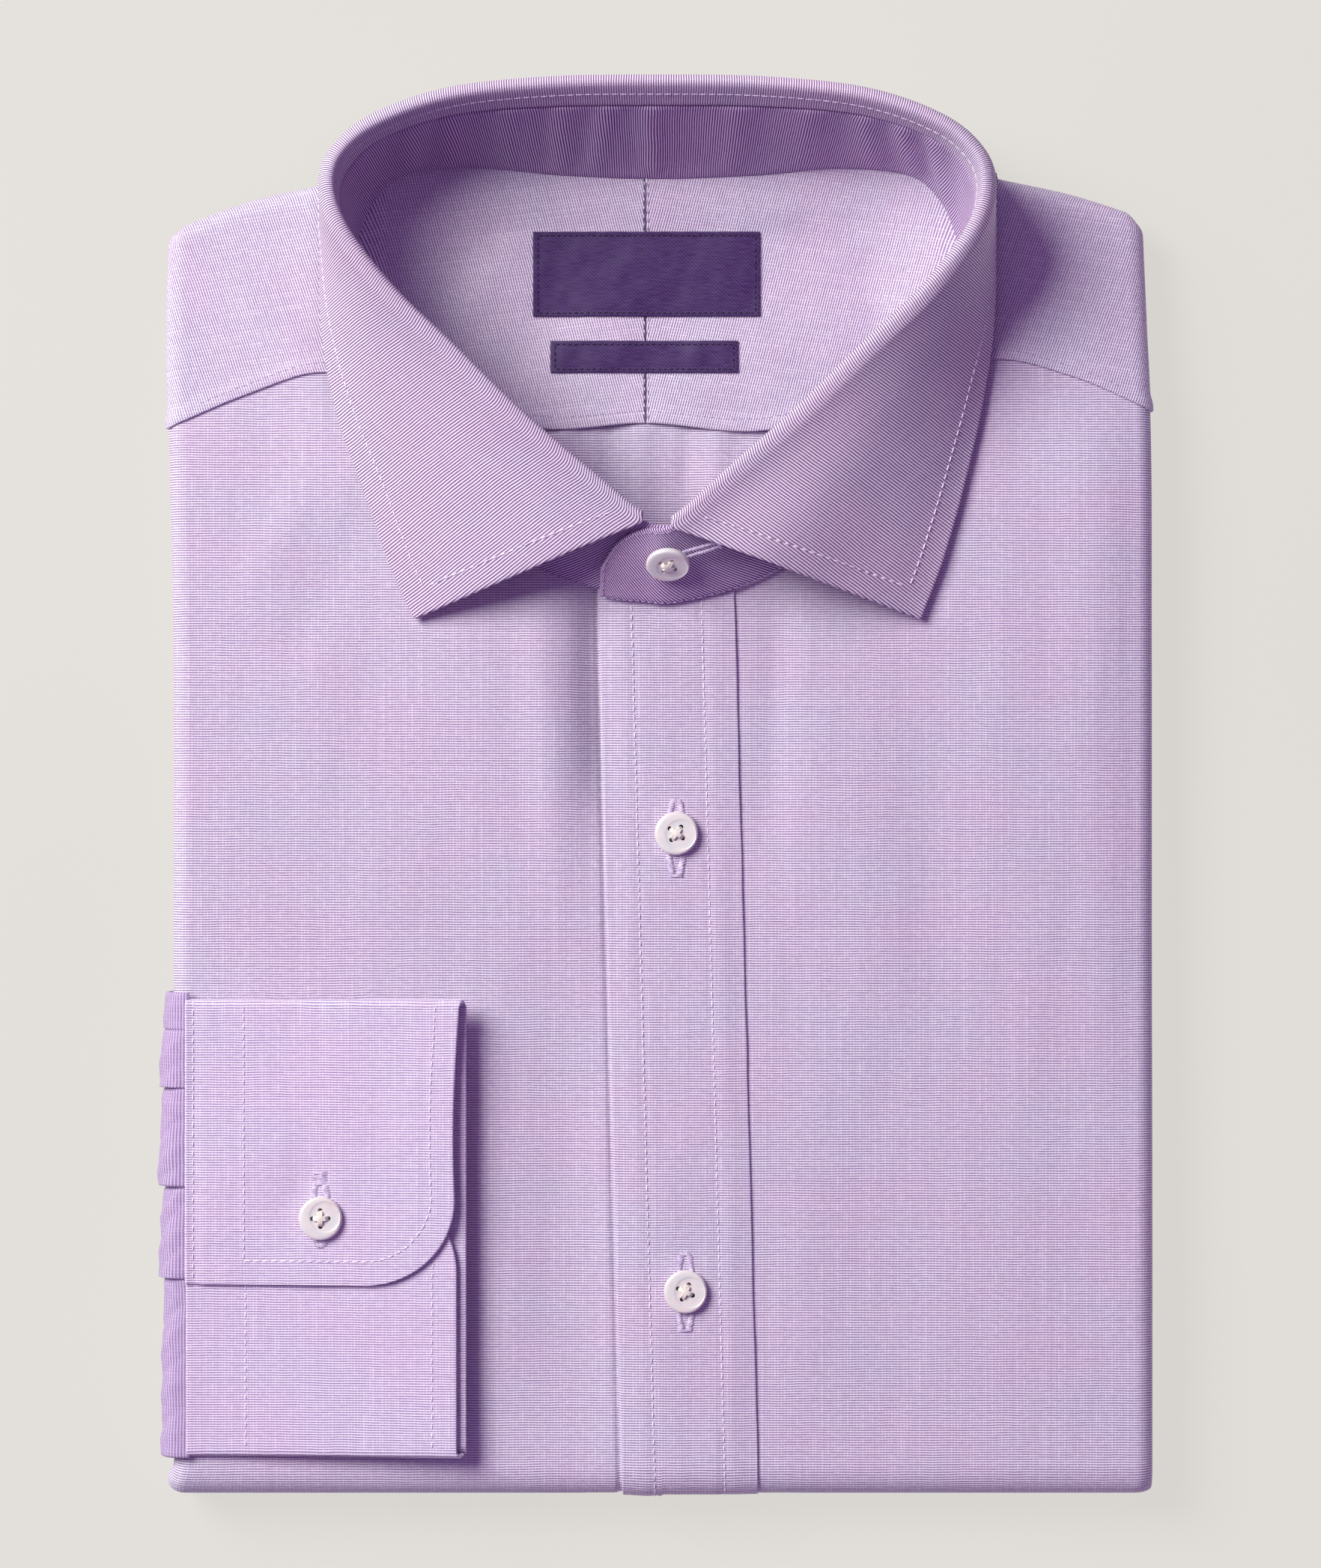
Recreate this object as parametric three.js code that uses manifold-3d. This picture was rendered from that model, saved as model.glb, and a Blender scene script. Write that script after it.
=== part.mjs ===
// A long sleeve dress shirt, folded for the shelf and lying on its back.
// Millimetres. +Z is up from the table, +Y runs up the front towards the collar, +X is to the right
// as the front is looked at. "Left" and "right" in the names are as looked at, too.
import * as THREE from "three";
import { mergeVertices } from "three/addons/utils/BufferGeometryUtils.js";
import Module from "manifold-3d";

const wasm = await Module();
wasm.setup();

// Cloth. Every piece keeps GAP to its neighbour at a seam.
const CLOTH = 1.1;
const COLLAR_CLOTH = 1.4;
const SLEEVE_CLOTH = 1.8;
const GAP = 0.3;

// The folded pack: side folds of small radius, and the tail turned under in one large fold.
const BODY_TOP = 20;
const SIDE_RADIUS = 4.5;
const SIDE_TURN = 2.05;
const TAIL_RADIUS = BODY_TOP / 2;
const TAIL_AXIS_Y = -170.8;
const TAIL_HEM_Y = 116;
const SHOULDER_TURN = 1.9;
const SHOULDER_DROP = 5;
const SIDE_EDGES = [
  { y: -171, left: 123.8, right: 125.2 },
  { y: -50, left: 123.9, right: 125.2 },
  { y: 40, left: 124.0, right: 125.2 },
  { y: 90, left: 125.2, right: 125.0 },
  { y: 118, left: 125.9, right: 123.9 },
  { y: 144, left: 125.3, right: 122.9 },
];
const SHOULDER_LINES = [
  { x: 50, left: 167.0, right: 167.0 },
  { x: 64, left: 162.5, right: 163.0 },
  { x: 76, left: 156.4, right: 157.2 },
  { x: 86, left: 153.0, right: 154.4 },
  { x: 105, left: 148.5, right: 150.2 },
  { x: 124, left: 141.5, right: 144.2 },
];
const YOKE_SEAM = [
  { x: -125, y: 90.5 },
  { x: -105, y: 99.0 },
  { x: -86, y: 104.6 },
  { x: -60, y: 100.0 },
  { x: -31, y: 91.0 },
  { x: -3.7, y: 92.3 },
  { x: 27, y: 90.5 },
  { x: 60, y: 101.0 },
  { x: 84, y: 108.0 },
  { x: 105, y: 103.5 },
  { x: 125, y: 95.0 },
];

// The placket leans a little to the right on its way down.
const PLACKET_WIDTH = 34.6;
const PLACKET_TOP_X = 1.6;
const PLACKET_TOP_Y = 47;
const PLACKET_LEAN = 0.0265;

// The neck: stations round the collar from the centre back to the front, for the right half.
// seam is where the stand meets the body, fold is the crest, edge is the leaf's outer edge.
const NECK_X = -0.8;
const NECK_Y = 103;
const BACK_SEAM_X = -3.7;
const BOWL_Z = 9.5;
const BOWL_SHARE = 0.68;
const COLLAR_STATIONS = [
  { seamX: 0, seamY: 155.5, foldX: 0, foldY: 174.2, foldZ: 45, edgeX: 0, edgeY: 176.5, edgeZ: 4 },
  { seamX: 24, seamY: 156.3, foldX: 27, foldY: 173.6, foldZ: 45.5, edgeX: 28, edgeY: 176, edgeZ: 4.2 },
  { seamX: 47, seamY: 158, foldX: 51.5, foldY: 170.6, foldZ: 46.5, edgeX: 54, edgeY: 173.5, edgeZ: 5 },
  { seamX: 64, seamY: 156, foldX: 69.5, foldY: 164, foldZ: 47.5, edgeX: 73, edgeY: 168, edgeZ: 6 },
  { seamX: 72.5, seamY: 149, foldX: 78.5, foldY: 156.5, foldZ: 48.5, edgeX: 83.5, edgeY: 158.5, edgeZ: 8.5 },
  { seamX: 77, seamY: 138, foldX: 80.7, foldY: 148, foldZ: 49, edgeX: 85.2, edgeY: 148.5, edgeZ: 15.8 },
  { seamX: 78.5, seamY: 124, foldX: 77.2, foldY: 138, foldZ: 48.5, edgeX: 85.5, edgeY: 134, edgeZ: 17.5 },
  { seamX: 76, seamY: 108, foldX: 67, foldY: 124.6, foldZ: 46.5, edgeX: 85, edgeY: 114.5, edgeZ: 20 },
  { seamX: 68.5, seamY: 88, foldX: 51.3, foldY: 109.4, foldZ: 44, edgeX: 82, edgeY: 93.5, edgeZ: 21 },
  { seamX: 51, seamY: 68, foldX: 32.7, foldY: 91.3, foldZ: 42, edgeX: 77.2, edgeY: 72.5, edgeZ: 21.8 },
  { seamX: 27, seamY: 54.5, foldX: 15, foldY: 76.4, foldZ: 40.5, edgeX: 72.3, edgeY: 55.5, edgeZ: 22.2 },
  { seamX: 5.5, seamY: 48.3, foldX: 3.4, foldY: 67.4, foldZ: 39.5, edgeX: 67, edgeY: 41.5, edgeZ: 22.6 },
];
// The left leaf spreads less: how much further in its outer edge lies, from the eighth station on.
const LEFT_LEAF_IN = [0, 0, 0, 0, 0, 0, 0, 0, 0.8, 3.2, 4.2, 5.2];
// The stand runs on past the leaf: the upper end is rounded and carries the buttonhole.
const STAND_LAP = [
  { seamX: -5.0, seamY: 48.4, topX: -3.8, topY: 65.6, topZ: 37.4 },
  { seamX: -11.2, seamY: 48.8, topX: -10.4, topY: 62.6, topZ: 34.3 },
  { seamX: -15.4, seamY: 49.4, topX: -15.2, topY: 55.4, topZ: 28.6 },
];
const STAND_UNDERLAP = { seamX: 4.5, seamY: 47.2, topX: 5.5, topY: 64.6, topZ: 38.2 };
const ROLL_BACK = 8;
const ROLL_FRONT = 1.6;
const ROLL_RADIUS = 1.5;
const LAP_LIFT = COLLAR_CLOTH + 0.6;
const LEAF_BULGE = 2.2;

// Soft folds pressed into the fronts: a trough is negative, a ridge is positive.
const SOFT_FOLDS = [
  { x: -25, y: 12, halfLength: 52, halfWidth: 9, height: -1.2 },
  { x: -46, y: 18, halfLength: 46, halfWidth: 12, height: 0.7 },
  { x: 34, y: 8, halfLength: 48, halfWidth: 12, height: 0.5 },
  { x: -98, y: 84, halfLength: 16, halfWidth: 10, height: -0.5 },
  { x: 96, y: 70, halfLength: 30, halfWidth: 12, height: -0.5 },
];

// The barrel cuff: one strip wound into a flat tube, its outer end rounded.
const CUFF = {
  left: -119.7,
  right: -50.6,
  underRight: -49.0,
  topY: -54.9,
  bottomY: -169.6,
  lapY: -126.6,
  innerEndY: -112,
  corner: 22.5,
  firstLayer: GAP,
};
const CUFF_PITCH = CLOTH + GAP;

// The end of the sleeve comes out of the pack, round the left side fold and into the cuff.
const SLEEVE = { topY: -52.6, bottomY: -171, end: -120.1, tuck: -114, tuckZ: 10 };
const PLEATS = [
  { y: -62.3, height: 0.55, run: 12 },
  { y: -77.2, height: 0.7, run: 14 },
  { y: -102.2, height: 0.45, run: 12 },
  { y: -125.5, height: 0.6, run: 16 },
];

// Buttons, by their place on the front.
const BUTTON = { radius: 5.5, height: 2.2, rim: 0.9, dish: 0.55, holeRadius: 0.75, holePitch: 2.5 };
const FRONT_BUTTONS = [
  { name: "button_front_upper", x: 4.0, y: -12.5 },
  { name: "button_front_lower", x: 6.3, y: -128.6 },
];
const CUFF_BUTTON = { x: -85.8, y: -109.6 };
const COLLAR_BUTTON = { station: 11.3, up: 0.58 };

// Woven labels inside the yoke, left plain.
const LABELS = [
  { name: "label_upper", x: -3.6, y: 130.3, width: 58, height: 21.6 },
  { name: "label_lower", x: -4.2, y: 109.2, width: 48, height: 8.2 },
];
const LABEL_CLOTH = 1.0;

// ---- small maths
const { lerp, clamp } = THREE.MathUtils;

function ease(from, to, value) {
  const t = clamp((value - from) / (to - from), 0, 1);
  return t * t * (3 - 2 * t);
}

// Reads a column of a table at a value of its key, with a smooth curve through the rows.
function readTable(table, key, column, value) {
  const last = table.length - 1;
  let i = 0;
  while (i < last - 1 && value > table[i + 1][key]) i++;
  const slope = (k) => {
    const a = table[Math.max(k - 1, 0)];
    const b = table[Math.min(k + 1, last)];
    return (b[column] - a[column]) / (b[key] - a[key]);
  };
  const span = table[i + 1][key] - table[i][key];
  const t = clamp((value - table[i][key]) / span, 0, 1);
  const a = table[i][column];
  const b = table[i + 1][column];
  const h = t * t * (3 - 2 * t);
  const bend = t * (1 - t) * ((1 - t) * slope(i) - t * slope(i + 1)) * span;
  return lerp(a, b, h) + bend;
}

function steps(from, to, count) {
  return Array.from({ length: count + 1 }, (_, i) => lerp(from, to, i / count));
}

// ---- solids from grids
function signedVolume(position, index) {
  let sum = 0;
  const p = (i) => new THREE.Vector3().fromBufferAttribute(position, i);
  for (let i = 0; i < index.length; i += 3) {
    sum += p(index[i]).dot(p(index[i + 1]).cross(p(index[i + 2])));
  }
  return sum / 6;
}

function closedGeometry(points, index) {
  const geometry = new THREE.BufferGeometry().setFromPoints(points);
  if (signedVolume(geometry.getAttribute("position"), index) < 0) index.reverse();
  geometry.setIndex(index);
  return geometry;
}

// A wall of cloth: an outer and an inner face over the same grid, joined round the rim.
// pointAt(u, v, face) gives a Vector3, with face 1 outside and 0 inside.
function wallGeometry(us, vs, pointAt) {
  const wide = us.length;
  const tall = vs.length;
  const points = [];
  for (const face of [1, 0]) {
    for (const v of vs) for (const u of us) points.push(pointAt(u, v, face));
  }
  const at = (i, j, face) => (1 - face) * wide * tall + j * wide + i;
  const index = [];
  const quad = (a, b, c, d) => index.push(a, b, c, a, c, d);
  for (let j = 0; j < tall - 1; j++) {
    for (let i = 0; i < wide - 1; i++) {
      quad(at(i, j, 1), at(i + 1, j, 1), at(i + 1, j + 1, 1), at(i, j + 1, 1));
      quad(at(i, j, 0), at(i, j + 1, 0), at(i + 1, j + 1, 0), at(i + 1, j, 0));
    }
  }
  for (let i = 0; i < wide - 1; i++) {
    quad(at(i, 0, 1), at(i, 0, 0), at(i + 1, 0, 0), at(i + 1, 0, 1));
    quad(at(i, tall - 1, 1), at(i + 1, tall - 1, 1), at(i + 1, tall - 1, 0), at(i, tall - 1, 0));
  }
  for (let j = 0; j < tall - 1; j++) {
    quad(at(0, j, 1), at(0, j + 1, 1), at(0, j + 1, 0), at(0, j, 0));
    quad(at(wide - 1, j, 1), at(wide - 1, j, 0), at(wide - 1, j + 1, 0), at(wide - 1, j + 1, 1));
  }
  return closedGeometry(points, index);
}

// A wall of even thickness about a middle surface, pushed out along its normals.
function thickWall(us, vs, middleAt, thickness) {
  const small = 1e-3;
  return wallGeometry(us, vs, (u, v, face) => {
    const here = middleAt(u, v);
    const alongU = middleAt(u + small, v).sub(middleAt(u - small, v));
    const alongV = middleAt(u, v + small).sub(middleAt(u, v - small));
    const normal = alongU.cross(alongV).normalize();
    return here.addScaledVector(normal, (face - 0.5) * thickness);
  });
}

// ---- the neck seam and how far in or out of it a place is
function mirroredStations(columnX, columnY, columnZ, leftIn = []) {
  const right = COLLAR_STATIONS.map(
    (row) => new THREE.Vector3(row[columnX], row[columnY], columnZ ? row[columnZ] : 0),
  );
  const left = right.map((p, i) => new THREE.Vector3((leftIn[i] || 0) - p.x, p.y, p.z));
  return [...left.slice(1).reverse(), ...right].map((p) => p.setX(p.x + NECK_X));
}

const LAST_STATION = COLLAR_STATIONS.length - 1;
const SEAM_POINTS = mirroredStations("seamX", "seamY");
const neckSeam = new THREE.CatmullRomCurve3(SEAM_POINTS, true, "catmullrom", 0.5);
const SEAM_POLAR = neckSeam
  .getPoints(240)
  .map((p) => ({
    angle: Math.atan2(p.y - NECK_Y, p.x - NECK_X),
    radius: Math.hypot(p.x - NECK_X, p.y - NECK_Y),
  }))
  .sort((a, b) => a.angle - b.angle);

function seamRadius(angle) {
  const after = SEAM_POLAR.findIndex((row) => row.angle >= angle);
  const high = SEAM_POLAR[after < 0 ? 0 : after];
  const low = SEAM_POLAR[after <= 0 ? SEAM_POLAR.length - 1 : after - 1];
  const turn = (value) => (value + 4 * Math.PI) % (2 * Math.PI);
  const span = turn(high.angle - low.angle);
  return span < 1e-6 ? low.radius : lerp(low.radius, high.radius, turn(angle - low.angle) / span);
}

// 1 on the neck seam, less inside it.
function neckRatio(x, y) {
  const dx = x - NECK_X;
  const dy = y - NECK_Y;
  return Math.hypot(dx, dy) / seamRadius(Math.atan2(dy, dx));
}

// The y of the neck seam over a given x, at the front or at the back of the neck.
function neckSeamY(x, atBack) {
  const sign = atBack ? 1 : -1;
  let near = 0;
  let far = 80;
  for (let i = 0; i < 40; i++) {
    const middle = (near + far) / 2;
    if (neckRatio(x, NECK_Y + sign * middle) < 1) near = middle;
    else far = middle;
  }
  return NECK_Y + sign * near;
}

// ---- the lie of the cloth
function placketCentre(y) {
  return PLACKET_TOP_X + (PLACKET_TOP_Y - y) * PLACKET_LEAN;
}

function softFolds(x, y) {
  let sum = 0;
  for (const fold of SOFT_FOLDS) {
    const across = (x - fold.x) / fold.halfWidth;
    const along = (y - fold.y) / fold.halfLength;
    sum += fold.height * Math.exp(-across * across) * Math.exp(-along * along * along * along);
  }
  return sum;
}

// The height of the cloth's outer face over the table, away from the edges.
function restHeight(x, y) {
  const fromNeck = Math.abs(x - NECK_X);
  const level =
    BODY_TOP -
    SHOULDER_DROP * ease(70, 150, y) +
    1.5 * Math.exp(-(((x - 1) / 34) ** 2) - ((y - 48) / 20) ** 2) -
    4.2 * ease(138, 156, y) * (1 - ease(50, 80, fromNeck));
  const outside = level + softFolds(x, y);
  return lerp(BOWL_Z, outside, ease(BOWL_SHARE, 1, neckRatio(x, y)));
}

function sideEdge(side, y) {
  return readTable(SIDE_EDGES, "y", side < 0 ? "left" : "right", y);
}

function shoulderLine(x) {
  return readTable(SHOULDER_LINES, "x", x < 0 ? "left" : "right", Math.abs(x));
}

// Flat pattern place (x, y) to its place on the folded shirt, out from the outer face.
function clothPoint(x, y, out) {
  const side = x < 0 ? -1 : 1;
  const past = TAIL_AXIS_Y - y;
  const tailTurn = clamp(past / TAIL_RADIUS, 0, Math.PI);
  const under = Math.max(0, past - Math.PI * TAIL_RADIUS);
  const level = past > 0 ? TAIL_AXIS_Y + under : y;
  const inner = sideEdge(side, level) - SIDE_RADIUS;
  const sideTurn = Math.max(0, Math.abs(x) - inner) / SIDE_RADIUS;
  const shoulderStart = shoulderLine(x) - SIDE_RADIUS;
  const shoulderTurn = past > 0 ? 0 : Math.max(0, y - shoulderStart) / SIDE_RADIUS;
  const bend = Math.hypot(sideTurn, shoulderTurn);
  const cornered = bend > 0 ? Math.min(sideTurn, shoulderTurn) / bend : 0;
  const turn = bend / (1 + 0.55 * cornered);
  const radius = SIDE_RADIUS + out;
  const reach = bend > 0 ? (radius * Math.sin(turn)) / bend : 0;
  const depth = SIDE_RADIUS - radius * Math.cos(turn);
  const px = side * (Math.min(Math.abs(x), inner) + reach * sideTurn);
  if (past > 0) {
    const nested = TAIL_RADIUS - depth;
    return new THREE.Vector3(
      px,
      level - nested * Math.sin(tailTurn),
      TAIL_RADIUS + nested * Math.cos(tailTurn),
    );
  }
  const py = Math.min(y, shoulderStart) + reach * shoulderTurn;
  const restX = side * Math.min(Math.abs(x), inner);
  return new THREE.Vector3(px, py, restHeight(restX, Math.min(y, shoulderStart)) - depth);
}

// How far the under layers give way to the placket on the underside.
function placketInset(x, y) {
  const past = TAIL_AXIS_Y - y;
  const turn = ease(0.3 * Math.PI * TAIL_RADIUS, 0.8 * Math.PI * TAIL_RADIUS, past);
  const offset = Math.abs(x - placketCentre(y));
  return turn * (CLOTH + GAP) * (1 - ease(PLACKET_WIDTH / 2 + 7, PLACKET_WIDTH / 2 + 12, offset));
}

// ---- materials
function cloth(color) {
  return new THREE.MeshStandardMaterial({ color, roughness: 0.85, metalness: 0 });
}
const lilac = cloth(0xd2c2dd);
const lilacDeep = cloth(0xb79fc8);
const purple = cloth(0x41285a);
const pearl = new THREE.MeshStandardMaterial({ color: 0xf1ece4, roughness: 0.25, metalness: 0 });

const shirt = new THREE.Group();
shirt.name = "folded_dress_shirt";

function add(name, geometry, material) {
  const mesh = new THREE.Mesh(geometry, material);
  mesh.name = name;
  shirt.add(mesh);
  return mesh;
}

// ---- fronts: each runs from the yoke seam down the front, round the tail fold and back underneath
const FLAT_HEM_Y = TAIL_AXIS_Y - Math.PI * TAIL_RADIUS - (TAIL_HEM_Y - TAIL_AXIS_Y);
const TAIL_TURN_END_Y = TAIL_AXIS_Y - Math.PI * TAIL_RADIUS;

function frontTop(x) {
  const seam = readTable(YOKE_SEAM, "x", "y", x) - GAP / 2;
  const fromNeck = Math.abs(x - NECK_X);
  if (fromNeck > 77.5) return seam;
  return Math.min(seam, neckSeamY(x, false) + 1.0);
}

// Columns of a front, as shares of its width, and where they meet the yoke seam.
const FRONT_SHARES = [
  0, 0.08, 0.15, 0.2, 0.26, 0.34, 0.4, 0.46, 0.51, 0.55, 0.58, 0.61, 0.65, 0.7, 0.78, 0.89, 1,
];
const TURN_SHARES = [0.25, 0.5, 0.75, 1];

function seamColumns(side) {
  const inner = side * (sideEdge(side, 95) - SIDE_RADIUS);
  const columns = FRONT_SHARES.map((share) => lerp(placketCentre(95) + (side * GAP) / 2, inner, share));
  return columns.filter((x) => Math.abs(x - NECK_X) > 76);
}

function buildFront(side) {
  const middle = (y) => placketCentre(y) + (side * GAP) / 2;
  // share runs from 0 at the placket to 1 at the turned edge
  const across = (share, y) => {
    const past = TAIL_AXIS_Y - y;
    const under = Math.max(0, past - Math.PI * TAIL_RADIUS);
    const level = past > 0 ? TAIL_AXIS_Y + under : y;
    const inner = sideEdge(side, level) - SIDE_RADIUS;
    if (share <= 1) return lerp(middle(y), side * inner, share);
    return side * (inner + (share - 1) * SIDE_TURN * SIDE_RADIUS);
  };
  const us = [...FRONT_SHARES, ...TURN_SHARES.map((share) => 1 + share)];
  const vs = [...steps(0, 1, 12), ...steps(1, 2, 8).slice(1), ...steps(2, 3, 5).slice(1)];
  return wallGeometry(us, vs, (u, v, face) => {
    const top = frontTop(clamp(across(u, 95), -125, 125));
    let y = lerp(top, TAIL_AXIS_Y, v);
    if (v > 1) y = lerp(TAIL_AXIS_Y, TAIL_TURN_END_Y, v - 1);
    if (v > 2) y = lerp(TAIL_TURN_END_Y, FLAT_HEM_Y, v - 2);
    const x = across(u, y);
    return clothPoint(x, y, (face - 1) * CLOTH - placketInset(x, y));
  });
}
add("front_left", buildFront(-1), lilac);
add("front_right", buildFront(1), lilac);

// ---- the placket, on top of both fronts
function buildPlacket() {
  const vs = [...steps(0, 1, 14), ...steps(1, 2, 8).slice(1), ...steps(2, 3, 5).slice(1)];
  return wallGeometry(steps(-0.5, 0.5, 4), vs, (u, v, face) => {
    const top = neckSeamY(PLACKET_TOP_X + u * PLACKET_WIDTH, false) - 0.3;
    let y = lerp(top, TAIL_AXIS_Y, v);
    if (v > 1) y = lerp(TAIL_AXIS_Y, TAIL_TURN_END_Y, v - 1);
    if (v > 2) y = lerp(TAIL_TURN_END_Y, FLAT_HEM_Y, v - 2);
    const x = placketCentre(y) + u * PLACKET_WIDTH;
    return clothPoint(x, y, GAP + face * CLOTH - placketInset(x, y));
  });
}
add("placket", buildPlacket(), lilac);

// ---- the split yoke: over the shoulder, under the stand and across the inside of the neck
function yokeBack(x) {
  const fromNeck = Math.abs(x - NECK_X);
  const overShoulder = shoulderLine(x) + SIDE_RADIUS * (SHOULDER_TURN - 1);
  if (fromNeck > 76) return overShoulder;
  return lerp(neckSeamY(x, true) + 0.6, overShoulder, ease(62, 76, fromNeck));
}

function buildYokeHalf(side) {
  const offsets = [0, 14, 28, 40, 48, 54, 60, 65, 70, 74];
  const vs = [0, 0.1, 0.22, 0.36, 0.5, 0.63, 0.74, 0.82, 0.88, 0.92, 0.96, 1];
  const inner = sideEdge(side, 95) - SIDE_RADIUS;
  const middle = BACK_SEAM_X + (side * GAP) / 2;
  const nearNeck = offsets.map((offset) => (offset ? NECK_X + side * offset : middle));
  const xs = [...nearNeck, ...seamColumns(side)];
  const turned = TURN_SHARES.map((t) => side * (inner + t * SIDE_TURN * SIDE_RADIUS));
  return wallGeometry([...xs, ...turned], vs, (x, v, face) => {
    const front = readTable(YOKE_SEAM, "x", "y", clamp(x, -125, 125)) + GAP / 2;
    const y = lerp(front, yokeBack(clamp(x, -inner, inner)), v);
    return clothPoint(x, y, (face - 1) * CLOTH);
  });
}
add("yoke_left", buildYokeHalf(-1), lilac);
add("yoke_right", buildYokeHalf(1), lilac);

// ---- the back panel, seen through the neck below the yoke
function buildBackPanel() {
  const reach = 66;
  return wallGeometry(steps(-1, 1, 16), steps(0, 1, 7), (u, v, face) => {
    const x = NECK_X + u * reach;
    const top = readTable(YOKE_SEAM, "x", "y", x) - GAP;
    const bottom = Math.min(neckSeamY(x, false) + 1.6 + 2 * GAP, top - 1.5);
    return clothPoint(x, lerp(bottom, top, v), (face - 1) * CLOTH);
  });
}
add("back_panel", buildBackPanel(), lilac);

// ---- the hidden layers: one rounded solid with the edges of its folds showing
const CORE_CLEAR = 1.2;
const SIDE_PROFILE = [
  // in: how far inside the side fold. from: which level down is measured from.
  { from: "top", in: 4.5, down: 1.55 },
  { from: "top", in: 2.7, down: 2.6 },
  { from: "top", in: 1.9, down: 4.5 },
  { from: "top", in: 2.5, down: 6.1 },
  { from: "top", in: 4.4, down: 7.0 },
  { from: "middle", in: 1.7, down: 0.02 },
  { from: "middle", in: 1.0, down: 0.22 },
  { from: "middle", in: 1.7, down: 0.44 },
  { from: "middle", in: 4.2, down: 0.5 },
  { from: "middle", in: 1.7, down: 0.56 },
  { from: "middle", in: 1.0, down: 0.78 },
  { from: "middle", in: 1.7, down: 0.98 },
  { from: "foot", in: 4.4, down: 7.0 },
  { from: "foot", in: 2.5, down: 6.1 },
  { from: "foot", in: 1.9, down: 4.5 },
  { from: "foot", in: 2.7, down: 2.6 },
  { from: "foot", in: 4.5, down: 1.6 },
];
const MIDDLE_LOW = 7.3;

function corePocket(side, y) {
  if (side > 0) return 0;
  const inside = ease(SLEEVE.bottomY - 3, SLEEVE.bottomY + 1, y) * (1 - ease(SLEEVE.topY - 1, SLEEVE.topY + 3, y));
  return 12 * inside;
}

function coreEnd(x) {
  const fromNeck = Math.abs(x - NECK_X);
  const shoulder = shoulderLine(x) - SIDE_RADIUS - 0.9;
  return lerp(neckSeamY(clamp(x, NECK_X - 70, NECK_X + 70), true) - 1.4, shoulder, ease(66, 78, fromNeck));
}

// The lowest the cloth lies within a few millimetres, so that the coarse core keeps clear of it.
function lowestNear(x, y) {
  const reach = 7 * (1 - ease(100, 112, Math.abs(x)));
  const around = [[0, 0], [1, 0], [-1, 0], [0, 1], [0, -1], [0.7, 0.7], [-0.7, 0.7], [0.7, -0.7], [-0.7, -0.7]];
  return Math.min(...around.map(([dx, dy]) => restHeight(x + dx * reach, y + dy * reach)));
}

function coreRing(y) {
  const ring = [];
  const upper = [-118, -104, -90, -77, -66, -54, -42, -30, -16, 0, 16, 30, 42, 54, 66, 77, 90, 104, 118];
  for (const x of upper) ring.push([x, lowestNear(x, Math.min(y, coreEnd(x))) - CLOTH - CORE_CLEAR, x]);
  for (const side of [1, -1]) {
    const edge = sideEdge(side, y);
    const top = restHeight(side * (edge - SIDE_RADIUS), Math.min(y, 150));
    const room = top - 7.3 - MIDDLE_LOW;
    const middleTop = MIDDLE_LOW + Math.max(room, 0.4);
    const rows = SIDE_PROFILE.map((row) => {
      let z = row.down;
      let inset = row.in;
      if (row.from === "top") z = top - row.down;
      if (row.from === "middle") {
        z = lerp(middleTop, MIDDLE_LOW, row.down);
        inset += corePocket(side, y) + 3 * (1 - ease(1.2, 3.5, room));
      }
      if (row.down === 7.0) inset += corePocket(side, y);
      return [side * (edge - inset), z, side * (edge - SIDE_RADIUS)];
    });
    ring.push(...(side > 0 ? rows : rows.reverse()));
    if (side > 0) for (const x of [100, 30, 10, -30, -100]) ring.push([x, Math.abs(x) > 40 ? 1.6 : 3.2, x]);
  }
  return ring;
}

function buildCore() {
  const shares = [0, 0.01, 0.02, 0.08, 0.2, 0.33, 0.355, 0.5, 0.62, 0.68, 0.73, 0.78, 0.83, 0.88, 0.93, 0.97, 1];
  const sections = [];
  for (const turn of [1.15, 0.8, 0.4]) {
    const ring = coreRing(TAIL_AXIS_Y).map(([x, z]) => {
      const nested = z - TAIL_RADIUS;
      return new THREE.Vector3(
        x,
        TAIL_AXIS_Y - Math.abs(nested) * Math.sin(turn),
        TAIL_RADIUS + nested * Math.cos(turn),
      );
    });
    sections.push(ring);
  }
  for (const share of shares) {
    const middleY = lerp(TAIL_AXIS_Y, 150, share);
    const ring = coreRing(middleY).map(([x, , shoulderX], i, all) => {
      const y = lerp(TAIL_AXIS_Y, coreEnd(shoulderX), share);
      return new THREE.Vector3(x, y, coreRing(y)[i][1]);
    });
    sections.push(ring);
  }
  const points = sections.flat();
  const count = sections[0].length;
  const index = [];
  for (let j = 0; j < sections.length - 1; j++) {
    for (let i = 0; i < count; i++) {
      const a = j * count + i;
      const b = j * count + ((i + 1) % count);
      index.push(a, b, b + count, a, b + count, a + count);
    }
  }
  for (const end of [0, sections.length - 1]) {
    const outline = sections[end].map((p) => new THREE.Vector2(p.x, p.z));
    const ringTurn = THREE.ShapeUtils.area(outline);
    const base = end * count;
    for (const [a, b, c] of THREE.ShapeUtils.triangulateShape(outline, [])) {
      const sameTurn = THREE.ShapeUtils.area([outline[a], outline[b], outline[c]]) * ringTurn > 0;
      if (sameTurn === end > 0) index.push(base + a, base + b, base + c);
      else index.push(base + a, base + c, base + b);
    }
  }
  return closedGeometry(points, index);
}
add("folded_layers", buildCore(), lilacDeep);

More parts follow.
